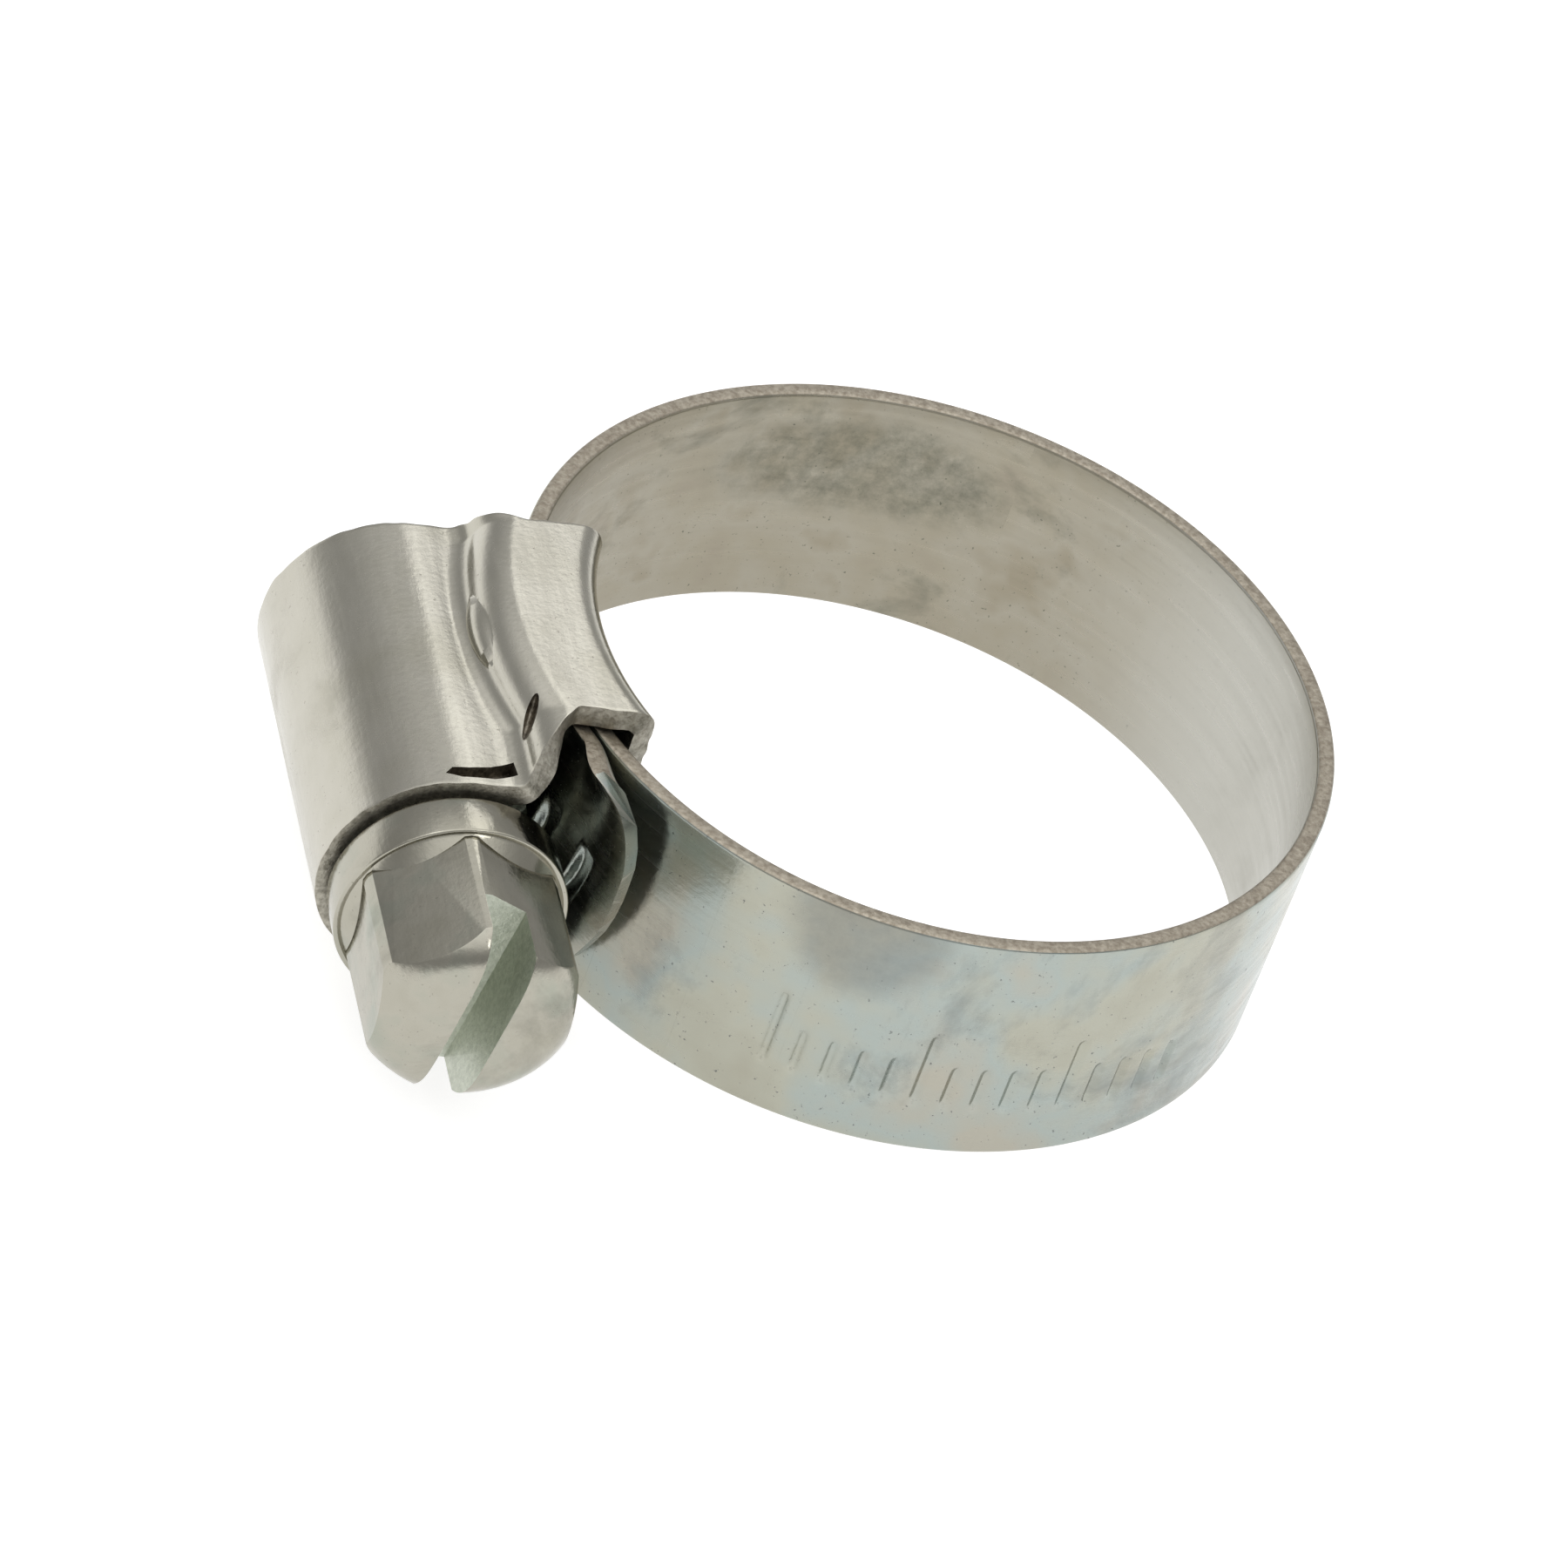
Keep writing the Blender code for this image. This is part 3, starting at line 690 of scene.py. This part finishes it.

# %% [markdown]
# ## Laying out the strip
# The steel bends everywhere, but the imported model bends it at hinges. The strip is laid as
# stretches between the middles of two links, which meet in the middle of a link. Only the pieces at
# the mouth, at the open side and at the tail follow a body; the stretches between are baked in
# place.

# %% Make one stretch of strip
FIXED_START = -14.0
MOUTH_END = 20.0
MOUTH_ANGLE = 27.0
NEAR_STEP = 15.3
NEAR_LINKS = 10
OPEN_ANGLE = 180.0
FAR_STEP = 14.0
FAR_LINKS = 4
TAIL_END = 236.0
TICKED = (61.0, 128.0)
TICK_INSET = 2.0
GROOVE_SMOOTH = 60.0
PLAIN_STEP = 0.5
TICKED_STEP = 0.2


def part_faces(item):
    """Give the strip's narrow edges the sheared finish, and its inner face the dull one."""
    item.data.materials.append(band_edge)
    item.data.materials.append(inner_zinc)
    flat = (BAND_WIDTH / 2 - EDGE_ROUND * 0.3) * MM
    for face in item.data.polygons:
        offset = face.center - CENTRE
        if abs(offset.z) > flat:
            face.material_index = 1
        elif face.normal.dot(offset) < 0:
            face.material_index = 2


def strip(name, start, end, step, fine=False, radii=(MOUTH_RADIUS, TAIL_RADIUS),
          ease=(MOUTH_ANGLE, TAIL_END), tip_cut=0.0):
    """Stretch of band between two angles, before its marks are pressed in."""
    item = new_item(name)
    grow(item, strip_tree, {
        "Section": fine_section if fine else plain_section, "Start": start, "End": end,
        "Steps": max(3, round((end - start) / step) + 1), "Ease Start": ease[0],
        "Ease End": ease[1], "Near Radius": radii[0], "Far Radius": radii[1],
        "Tip Cut": tip_cut, "Centre": CENTRE})
    return item


def dress(item):
    """Settle a stretch. Only its edges turn sharply enough to stay sharp, not its grooves."""
    settle(item, GROOVE_SMOOTH)
    part_faces(item)
    return item


def bend_between(piece):
    """Bake a stretch's place into its points. It is not blended, and follows no body."""
    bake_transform(piece)


# %% Lay the stretches from the mouth to the open side
fixed_end = dress(strip("band_mouth", FIXED_START, MOUTH_END, PLAIN_STEP))
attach(fixed_end, "housing_and_fixed_end")
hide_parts("band_fixed_end")

bodies = ["housing_and_fixed_end"] + [f"near_link_{k:02d}" for k in range(1, NEAR_LINKS + 1)]
stretch_start = MOUTH_END
for number in range(1, NEAR_LINKS + 1):
    hinge = MOUTH_ANGLE + NEAR_STEP * (number - 1)
    stretch_end = hinge + NEAR_STEP / 2
    marked = stretch_end > TICKED[0] - TICK_INSET and stretch_start < TICKED[1] + TICK_INSET
    piece = strip(f"band_near_stretch_{number:02d}", stretch_start, stretch_end,
                  TICKED_STEP if marked else PLAIN_STEP, fine=marked)
    if marked:
        grow(piece, tick_tree, {
            "First": TICKED[0] + TICK_INSET, "Last": TICKED[1], "Spacing": 4.4, "Width": 1.15,
            "Depth": 0.15, "Foot": -2.4, "Short": -1.0, "Long": 0.2, "Centre": CENTRE})
    dress(piece)
    bend_between(piece)
    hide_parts(f"band_near_{number:02d}")
    stretch_start = stretch_end
last_near = dress(strip("band_near_end", stretch_start, OPEN_ANGLE, PLAIN_STEP))
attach(last_near, bodies[-1])
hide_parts(f"band_near_{NEAR_LINKS:02d}")

# %% Lay the stretches from the open side to the tail
far_bodies = [f"far_link_{k:02d}" for k in range(FAR_LINKS, 0, -1)] + ["tail"]
first_far = dress(strip("band_far_end", OPEN_ANGLE, OPEN_ANGLE + FAR_STEP / 2, PLAIN_STEP))
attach(first_far, far_bodies[0])
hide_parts(f"band_far_{FAR_LINKS:02d}")
stretch_start = OPEN_ANGLE + FAR_STEP / 2
for index in range(FAR_LINKS):
    hinge = stretch_start + FAR_STEP / 2
    stretch_end = stretch_start + FAR_STEP
    number = FAR_LINKS - index
    piece = dress(strip(f"band_far_stretch_{number:02d}", stretch_start, stretch_end,
                        PLAIN_STEP))
    bend_between(piece)
    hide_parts(f"band_far_{number:02d}")
    stretch_start = stretch_end

# %% [markdown]
# ## The tail
# The long tail lies over the mouth and runs under the screw. Its tip springs away from the loop.
# It is a stretch like the others, but rigid, with finer steps that can carry the pressed thread.

# %% Make the tail
TAIL_START = -117.0
TAIL_STEP = 0.26
TAIL_LIFT_START = 25.0
TIP_ANGLE = 38.0
TIP_LIFT = 0.7

tail = strip("band_tail_thread", TAIL_START, TIP_ANGLE, TAIL_STEP, fine=True,
             radii=(TAIL_RADIUS, TAIL_RADIUS + TIP_LIFT), ease=(TAIL_LIFT_START, TIP_ANGLE),
             tip_cut=1.0)
grow(tail, groove_tree, {"First": -113.5, "Last": 34.0, "Width": 1.1, "Wall": 0.3,
                         "Centre": CENTRE})
dress(tail)
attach(tail, "tail")
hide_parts("band_tail")
print("the band is laid")

# %% [markdown]
# ## The housing
# The housing is one blank of sheet steel, 0.8 mm thick, wrapped round the screw and folded round
# the band. Its cross-section is a single line of bends, so the line is drawn first, like a path
# that turns and runs. The line is then carried along the screw. Where it leaves the round hood it
# curves with the loop, so that it sits on the band like a saddle.

# %% Draw the line of bends
SHEET = 0.8
HOOD_RADIUS = 3.7
HOOD_WRAP = 96.0
NECK_RADIUS = 1.1
NECK_TURN = 76.0
SHOULDER_RADIUS = 0.9
WALL_HEIGHT = 5.05
FLANGE_RADIUS = 11.85
FOLD_RADIUS = 0.45
SEAM_GAP = 0.3
LINE_STEP = 0.09


def bend_line():
    """Points of the sheet's mid-line, as distance from the loop's axis and height."""
    points = [Vector((SCREW_OFFSET + HOOD_RADIUS, 0.0))]
    heading = 90.0

    def bend(radius, turn):
        nonlocal heading
        steps = max(6, round(radius * math.radians(abs(turn)) / LINE_STEP))
        chord = 2 * radius * math.sin(math.radians(abs(turn)) / steps / 2)
        for _ in range(steps):
            middle = math.radians(heading + turn / steps / 2)
            points.append(points[-1] + chord * Vector((math.cos(middle), math.sin(middle))))
            heading += turn / steps

    def run_to(value, axis):
        start = points[-1].copy()
        way = Vector((math.cos(math.radians(heading)), math.sin(math.radians(heading))))
        length = (value - start[axis]) / way[axis]
        steps = max(1, round(length / LINE_STEP))
        points.extend(start + way * length * step / steps for step in range(1, steps + 1))

    bend(HOOD_RADIUS, HOOD_WRAP)
    bend(NECK_RADIUS, -NECK_TURN)
    shoulder_turn = 90 - HOOD_WRAP + NECK_TURN
    run_to(WALL_HEIGHT - SHOULDER_RADIUS * (1 - math.cos(math.radians(shoulder_turn))), 1)
    bend(SHOULDER_RADIUS, shoulder_turn)
    run_to(FLANGE_RADIUS + FOLD_RADIUS, 0)
    bend(FOLD_RADIUS, 90.0)
    run_to(SEAM_GAP / 2, 1)
    return points


half_line = bend_line()
sheet_line = [Vector((p.x, -p.y)) for p in reversed(half_line[1:])] + half_line
print("line of bends has", len(sheet_line), "points")

# %% [markdown]
# ## Small press marks on the housing
# A press leaves marks that make sheet metal look real: a lens-shaped gusset that stiffens the
# neck, and a cut rim that is never quite straight. Both are small moves of the points of the sheet.

# %% Carry the line along the screw
HOOD_ENDS = (-7.45, 5.0)
WALL_ENDS = (-4.8, 4.2)
SHEET_ROWS = 96
GUSSET_MIDDLE = -0.5
GUSSET_LEVEL = 4.3
GUSSET_SIZE = (1.7, 0.4)
GUSSET_HEIGHT = 0.22
RAGGED = 0.07
SADDLE_START = SCREW_OFFSET + 0.5
SADDLE_FULL = SCREW_OFFSET - 1.0


def eased(share):
    share = min(max(share, 0.0), 1.0)
    return share * share * (3 - 2 * share)


def sheet_point(point, along):
    """Place on the sheet for a point of the line and a share of the way along the screw."""
    saddle = eased((SADDLE_START - point.x) / (SADDLE_START - SADDLE_FULL))
    shorter = eased((SADDLE_FULL - point.x) / (SADDLE_FULL - TAIL_RADIUS - BAND_THICKNESS / 2))
    near = HOOD_ENDS[0] + (WALL_ENDS[0] - HOOD_ENDS[0]) * shorter
    far = HOOD_ENDS[1] + (WALL_ENDS[1] - HOOD_ENDS[1]) * shorter
    y = near + (far - near) * along
    bow = min(max(y, WALL_ENDS[0]), WALL_ENDS[1])
    dip = point.x - math.sqrt(point.x ** 2 - bow ** 2)
    rag = RAGGED * noise.noise(Vector((point.x, y, point.y)) * 2.1) * (abs(2 * along - 1) > 0.999)
    return Vector((-(point.x - saddle * dip), y + rag, point.y))


def gusset(place, point):
    """Height of the gusset at a place on the sheet, zero outside its outline."""
    along = (place.y - GUSSET_MIDDLE) / GUSSET_SIZE[0]
    across = (abs(point.y) - GUSSET_LEVEL) / GUSSET_SIZE[1]
    outline = 1 - along ** 2
    on_neck = TAIL_RADIUS + 0.8 < point.x < SCREW_OFFSET - 0.6
    if outline <= 0 or abs(across) >= outline or not on_neck:
        return 0.0
    return GUSSET_HEIGHT * outline * math.cos(across / outline * math.pi / 2) ** 2


def sheet_grid():
    shape = bmesh.new()
    columns = len(sheet_line) - 1
    bmesh.ops.create_grid(shape, x_segments=SHEET_ROWS, y_segments=columns, size=0.5)
    lines = [sheet_line[round((vert.co.y + 0.5) * columns)] for vert in shape.verts]
    for vert, point in zip(shape.verts, lines):
        vert.co = sheet_point(point, vert.co.x + 0.5)
    shape.normal_update()
    crown = max(shape.verts, key=lambda vert: vert.co.z)
    if crown.normal.z < 0:
        bmesh.ops.reverse_faces(shape, faces=shape.faces)
        shape.normal_update()
    moves = [vert.normal * gusset(vert.co, lines[vert.index]) for vert in shape.verts]
    for vert, move in zip(shape.verts, moves):
        vert.co += move
    return shape


housing = new_item("housing_sheet", sheet_grid())
print("sheet has", len(housing.data.vertices), "points")

# %% [markdown]
# ## Thickness, lug slot and nick
# Solidify gives the sheet its thickness and marks the rim with the sheared finish, and a bevel
# takes the razor edge off. Two cuts follow. The lug is a strip lanced out of the hood, which is
# pushed down behind the screw's collar to hold it, and the nick is a short tear on the shoulder.


# %% Finish the housing
def thicken(item, thickness):
    solidify = item.modifiers.new("sheet", "SOLIDIFY")
    solidify.thickness = thickness * MM
    solidify.offset = 0.0
    solidify.use_even_offset = True
    solidify.material_offset_rim = 1


def round_edges(item, width, segments, limit):
    bevel = item.modifiers.new("edges", "BEVEL")
    bevel.width = width * MM
    bevel.segments = segments
    bevel.limit_method = "ANGLE"
    bevel.angle_limit = math.radians(limit)


def cut(item, tool, operation="DIFFERENCE"):
    boolean = item.modifiers.new(tool.name, "BOOLEAN")
    boolean.object = tool
    boolean.operation = operation
    boolean.solver = "EXACT"
    boolean.material_mode = "TRANSFER"


def put_away(*tools):
    for tool in tools:
        bpy.data.objects.remove(tool)


SHEET_ROUND = 0.12
housing.data.materials.append(housing_zinc)
housing.data.materials.append(sheet_edge)
thicken(housing, SHEET)
round_edges(housing, SHEET_ROUND, 3, 60)

LUG_OUTLINE = ((-17.7, -6.98), (-17.45, -6.72), (-16.9, -6.72), (-16.2, -6.62), (-15.35, -6.3),
               (-15.3, -6.9), (-16.1, -7.16), (-17.2, -7.18))
LUG_FLOOR = 3.6
LUG_CUT = 2.0
NICK_WIDTH = 0.36
NICK_DEPTH = 0.9
NICK_ENDS = (Vector((-14.5, -4.1, 5.2)), Vector((-15.05, -5.7, 4.55)))


def put(shape, size, turn, place):
    """Scale, turn and move a simple shape into place."""
    bmesh.ops.scale(shape, verts=shape.verts, vec=size)
    bmesh.ops.transform(shape, matrix=turn, verts=shape.verts)
    bmesh.ops.translate(shape, verts=shape.verts, vec=place)


def lug_cutter():
    """Solid that opens the slot the lug was lanced from."""
    shape = bmesh.new()
    outline = shape.faces.new([shape.verts.new((x, y, LUG_FLOOR)) for x, y in LUG_OUTLINE])
    sides = bmesh.ops.extrude_face_region(shape, geom=[outline])
    lifted = [part for part in sides["geom"] if isinstance(part, bmesh.types.BMVert)]
    bmesh.ops.translate(shape, verts=lifted, vec=(0, 0, LUG_CUT))
    bmesh.ops.recalc_face_normals(shape, faces=shape.faces)
    return new_item("lug_cutter", shape)


def nick_cutter():
    """Thin pod that tears the shoulder."""
    way = NICK_ENDS[1] - NICK_ENDS[0]
    shape = bmesh.new()
    bmesh.ops.create_icosphere(shape, subdivisions=3, radius=0.5)
    put(shape, (way.length, NICK_WIDTH, NICK_DEPTH),
        way.to_track_quat("X", "Z").to_matrix().to_4x4(), (NICK_ENDS[0] + NICK_ENDS[1]) / 2)
    return new_item("nick_cutter", shape)


tools = (lug_cutter(), nick_cutter())
for tool in tools:
    tool.data.materials.append(torn_steel)
    cut(housing, tool)
settle(housing)
put_away(*tools)
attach(housing, "housing_and_fixed_end")
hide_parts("housing")

# %% [markdown]
# ## The screw
# The screw is forged in one piece: a hexagon head with a driver slot, a round collar that runs
# against the housing, and the worm. The head is turned and milled shapes put together. The
# hexagon is cut by a turned outline, which gives each flat its curved ends, then the slot is
# cut, and a turned collar with a cone in front of it is joined on.

# %% Tools for turned shapes
COLLAR_GAP = 0.3
COLLAR_THICKNESS = 1.6
COLLAR_RADIUS = 3.8
HEAD_LENGTH = 5.3
COLLAR_BACK = HOOD_ENDS[0] - COLLAR_GAP
COLLAR_FRONT = COLLAR_BACK - COLLAR_THICKNESS
HEAD_END = COLLAR_FRONT - HEAD_LENGTH
FLAT_RADIUS = 6.35 / 2
HEX_TURN = 5.0
SLOT_TURN = 82.0
SLOT_LENGTH = 12.0
SLOT_WIDTH = 1.6
SLOT_DEPTH = 2.6
TURNED_STEPS = 128


def turned(name, outline):
    """Closed solid of revolution about the screw's axis from (radius, place along Y) points."""
    shape = bmesh.new()
    verts = [shape.verts.new((radius, y, 0.0)) for radius, y in outline]
    edges = [shape.edges.new(pair) for pair in zip(verts, verts[1:])]
    bmesh.ops.spin(shape, geom=verts + edges, cent=(0, 0, 0), axis=(0, 1, 0),
                   angle=2 * math.pi, steps=TURNED_STEPS, use_merge=True)
    bmesh.ops.remove_doubles(shape, verts=shape.verts, dist=0.0001)
    bmesh.ops.recalc_face_normals(shape, faces=shape.faces)
    bmesh.ops.translate(shape, verts=shape.verts, vec=(-SCREW_OFFSET, 0, 0))
    return new_item(name, shape)


def rounded_rise(radius, y, size, start, end, steps=5):
    """Points of a small quarter-round in an outline, between two angles in degrees."""
    for step in range(steps + 1):
        turn = math.radians(start + (end - start) * step / steps)
        yield (radius + size * math.cos(turn), y + size * math.sin(turn))


print("head from", round(HEAD_END, 2), "to", round(COLLAR_FRONT, 2))

# %% Make the head
DOME_RISE = 1.3
DOME_POWER = 6.0
CORNER_STRIP = 0.26
CORNER_RADIUS = FLAT_RADIUS / math.cos(math.radians(30))
LIMIT_STEPS = 40
HEX_LAP = 0.6
HEX_SPARE = 1.0
CONE_LENGTH = 0.8
BACK_ROUND = 0.15
FRONT_ROUND = 0.08


def head_limit():
    """Turned outline whose end is flat in the middle and falls away towards the corners."""
    wide = CORNER_RADIUS + HEX_LAP
    outline = [(0.0, HEAD_END)]
    for step in range(1, LIMIT_STEPS + 1):
        radius = wide * step / LIMIT_STEPS
        outline.append((radius, HEAD_END + DOME_RISE * (radius / CORNER_RADIUS) ** DOME_POWER))
    outline += [(wide, COLLAR_FRONT + CONE_LENGTH), (0.0, COLLAR_FRONT + CONE_LENGTH)]
    return turned("head_limit", outline)


def hexagon():
    """Hexagonal bar with narrow bevelled corners, longer than the head at both ends."""
    shape = bmesh.new()
    bmesh.ops.create_cone(shape, cap_ends=True, segments=6, radius1=CORNER_RADIUS,
                          radius2=CORNER_RADIUS, depth=HEAD_LENGTH + HEX_LAP + HEX_SPARE)
    corners = [edge for edge in shape.edges
               if abs(edge.verts[0].co.z - edge.verts[1].co.z) > 1]
    bmesh.ops.bevel(shape, geom=corners, offset=CORNER_STRIP, segments=2, affect="EDGES",
                    profile=0.35)
    spin = Matrix.Rotation(math.radians(-HEX_TURN), 4, "Y") @ Matrix.Rotation(-math.pi / 2, 4, "X")
    middle = (COLLAR_FRONT + HEX_LAP + HEAD_END - HEX_SPARE) / 2
    put(shape, (1, 1, 1), spin, (-SCREW_OFFSET, middle, 0))
    return new_item("screw_head", shape)


def slot_tool():
    """Box that mills the driver slot."""
    shape = bmesh.new()
    bmesh.ops.create_cube(shape, size=1.0)
    put(shape, (SLOT_LENGTH, 2 * SLOT_DEPTH, SLOT_WIDTH),
        Matrix.Rotation(math.radians(-SLOT_TURN), 4, "Y"), (-SCREW_OFFSET, HEAD_END, 0))
    return new_item("slot_tool", shape)


def collar():
    """Turned collar with a quarter-round on each rim and a cone that runs on to the flats."""
    rim = COLLAR_RADIUS
    outline = [(0.0, COLLAR_BACK)]
    outline += rounded_rise(rim - BACK_ROUND, COLLAR_BACK - BACK_ROUND, BACK_ROUND, 90, 0)
    outline += rounded_rise(rim - FRONT_ROUND, COLLAR_FRONT + FRONT_ROUND, FRONT_ROUND, 0, -90)
    outline += [(rim - 0.16, COLLAR_FRONT), (rim - 0.2, COLLAR_FRONT + 0.06),
                (rim - 0.26, COLLAR_FRONT - 0.02), (FLAT_RADIUS - 0.3, COLLAR_FRONT - CONE_LENGTH),
                (0.0, COLLAR_FRONT - CONE_LENGTH)]
    return turned("collar_tool", outline)


head = hexagon()
limit, slot_cut, ring = head_limit(), slot_tool(), collar()
for shape, finish in ((head, screw_zinc), (limit, screw_zinc), (slot_cut, milled_slot),
                      (ring, screw_zinc)):
    shape.data.materials.append(finish)
cut(head, limit, "INTERSECT")
cut(head, slot_cut)
cut(head, ring, "UNION")
round_edges(head, 0.09, 2, 24)
settle(head, 28)
put_away(limit, slot_cut, ring)
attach(head, "screw")
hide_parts("worm_screw")

# %% [markdown]
# ## The worm
# A worm is a cylinder whose radius depends on one number: how far a point is from the nearest
# turn of a helix. So a plain cylinder goes into a Geometry Nodes tree and every point is moved
# out by that rule. The ridge fades in and out at the ends, as a rolled thread does.

# %% Build the worm tree
THREAD_HEIGHT = 0.55
THREAD_FADE = 0.8
PLAIN_END = 0.5
worm_tree, worm_in = new_tree("rolled worm thread", {
    "Start": "Float", "End": "Float", "Root": "Float", "Ridge": "Float", "Pitch": "Float",
    "Crest": "Float", "Foot": "Float", "Fade": "Float", "Chamfer": "Float", "Place": "Vector"})
rule = chain(worm_tree, dict(worm_in.items()), (
    ("length", MATH, "SUBTRACT", "End", "Start"),
    ("total", MATH, "ADD", "End", "Start"),
    ("centre", MATH, "MULTIPLY", "total", 0.5)))
rod = add(worm_tree, "GeometryNodeMeshCylinder", {
    "Vertices": 96, "Side Segments": 170, "Radius": 1.0, "Depth": rule["length"]},
    fill_type="NGON")
here = add(worm_tree, "GeometryNodeInputPosition")
rule.update(add(worm_tree, "ShaderNodeSeparateXYZ", {"Vector": here}).outputs.items())
chain(worm_tree, rule, (
    ("y", MATH, "ADD", "Z", "centre"),
    ("turn", MATH, "ARCTAN2", "Y", "X"),
    ("part", MATH, "DIVIDE", "turn", 2 * math.pi),
    ("turns", MATH, "DIVIDE", "y", "Pitch"),
    ("count", MATH, "SUBTRACT", "turns", "part"),
    *TO_NEAREST,
    ("away", MATH, "MULTIPLY", "side", "Pitch"),
    ("inner", MATH, "MULTIPLY", "Crest", 0.5),
    ("outer", MATH, "MULTIPLY", "Foot", 0.5),
    ("to start", MATH, "SUBTRACT", "y", "Start"),
    ("to end", MATH, "SUBTRACT", "End", "y"),
    ("faded", MATH, "ADD", "Fade", THREAD_FADE),
    ("ridge", RANGE, "LINEAR", "away", "inner", "outer", "Ridge", 0.0),
    ("fade in", RANGE, "LINEAR", "to start", "Fade", "faded", 0.0, 1.0),
    ("fade out", RANGE, "LINEAR", "to end", PLAIN_END, PLAIN_END + THREAD_FADE, 0.0, 1.0),
    ("chamfer", RANGE, "LINEAR", "to end", 0.0, "Chamfer", "Chamfer", 0.0),
    ("ends", MATH, "MULTIPLY", "fade in", "fade out"),
    ("proud", MATH, "MULTIPLY", "ridge", "ends"),
    ("core", MATH, "SUBTRACT", "Root", "chamfer"),
    ("radius", MATH, "ADD", "core", "proud")))
ring = add(worm_tree, "ShaderNodeCombineXYZ", {"X": rule["radius"], "Y": rule["radius"], "Z": 1.0})
spread = add(worm_tree, VECTORS, {0: here, 1: ring}, operation="MULTIPLY")
threaded = add(worm_tree, "GeometryNodeSetPosition", {"Geometry": rod, "Position": spread})
upright = add(worm_tree, "GeometryNodeTransform", {
    "Geometry": threaded,
    "Translation": add(worm_tree, "ShaderNodeCombineXYZ", {"Z": rule["centre"]})})
stood = add(worm_tree, "GeometryNodeTransform", {
    "Geometry": upright, "Translation": worm_in["Place"],
    "Rotation": (-math.pi / 2, 0.0, 0.0), "Scale": (MM, MM, MM)})
close_tree(worm_tree, stood, screw_zinc)

# %% Make the worm
worm = new_item("screw_worm")
grow(worm, worm_tree, {
    "Start": COLLAR_BACK - 0.4, "End": HOOD_ENDS[1] - 0.5, "Root": THREAD_RADIUS - THREAD_HEIGHT,
    "Ridge": THREAD_HEIGHT, "Pitch": THREAD_PITCH, "Crest": 0.55, "Foot": 0.95, "Fade": 1.6,
    "Chamfer": 0.35, "Place": hinge_at["screw_turn"].copy()})
settle(worm)
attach(worm, "screw")
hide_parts("worm_screw")

# %% [markdown]
# ## Clinch pins
# The band's fixed end is held by two small pins pressed through it from the housing's flange.
# They are almost hidden, but from inside the loop their ends can be seen between the sheets.

# %% Make the clinch pins
PIN_RADIUS = 0.65
PIN_HEIGHT = 2.2
PIN_ENDS = (FLANGE_RADIUS, MOUTH_RADIUS + BAND_THICKNESS / 2 - 0.05)
pins = bmesh.new()
for side in (-1, 1):
    pin = bmesh.ops.create_cone(pins, cap_ends=True, segments=32, radius1=PIN_RADIUS,
                                radius2=PIN_RADIUS, depth=PIN_ENDS[1] - PIN_ENDS[0])
    lay = (Matrix.Translation((-sum(PIN_ENDS) / 2, 0, side * PIN_HEIGHT))
           @ Matrix.Rotation(math.pi / 2, 4, "Y"))
    bmesh.ops.transform(pins, matrix=lay, verts=pin["verts"])
clinch = new_item("clinch_pins", pins)
clinch.data.materials.append(housing_zinc)
round_edges(clinch, 0.06, 2, 60)
settle(clinch)
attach(clinch, "housing_and_fixed_end")

# %% [markdown]
# ## Finish
# The two strip sections were only needed by the sweep, so they are removed. The finer pieces
# must stay inside the box of the imported model.

# %% Remove the strip sections
for section_curve in (plain_section, fine_section):
    bpy.data.objects.remove(section_curve)
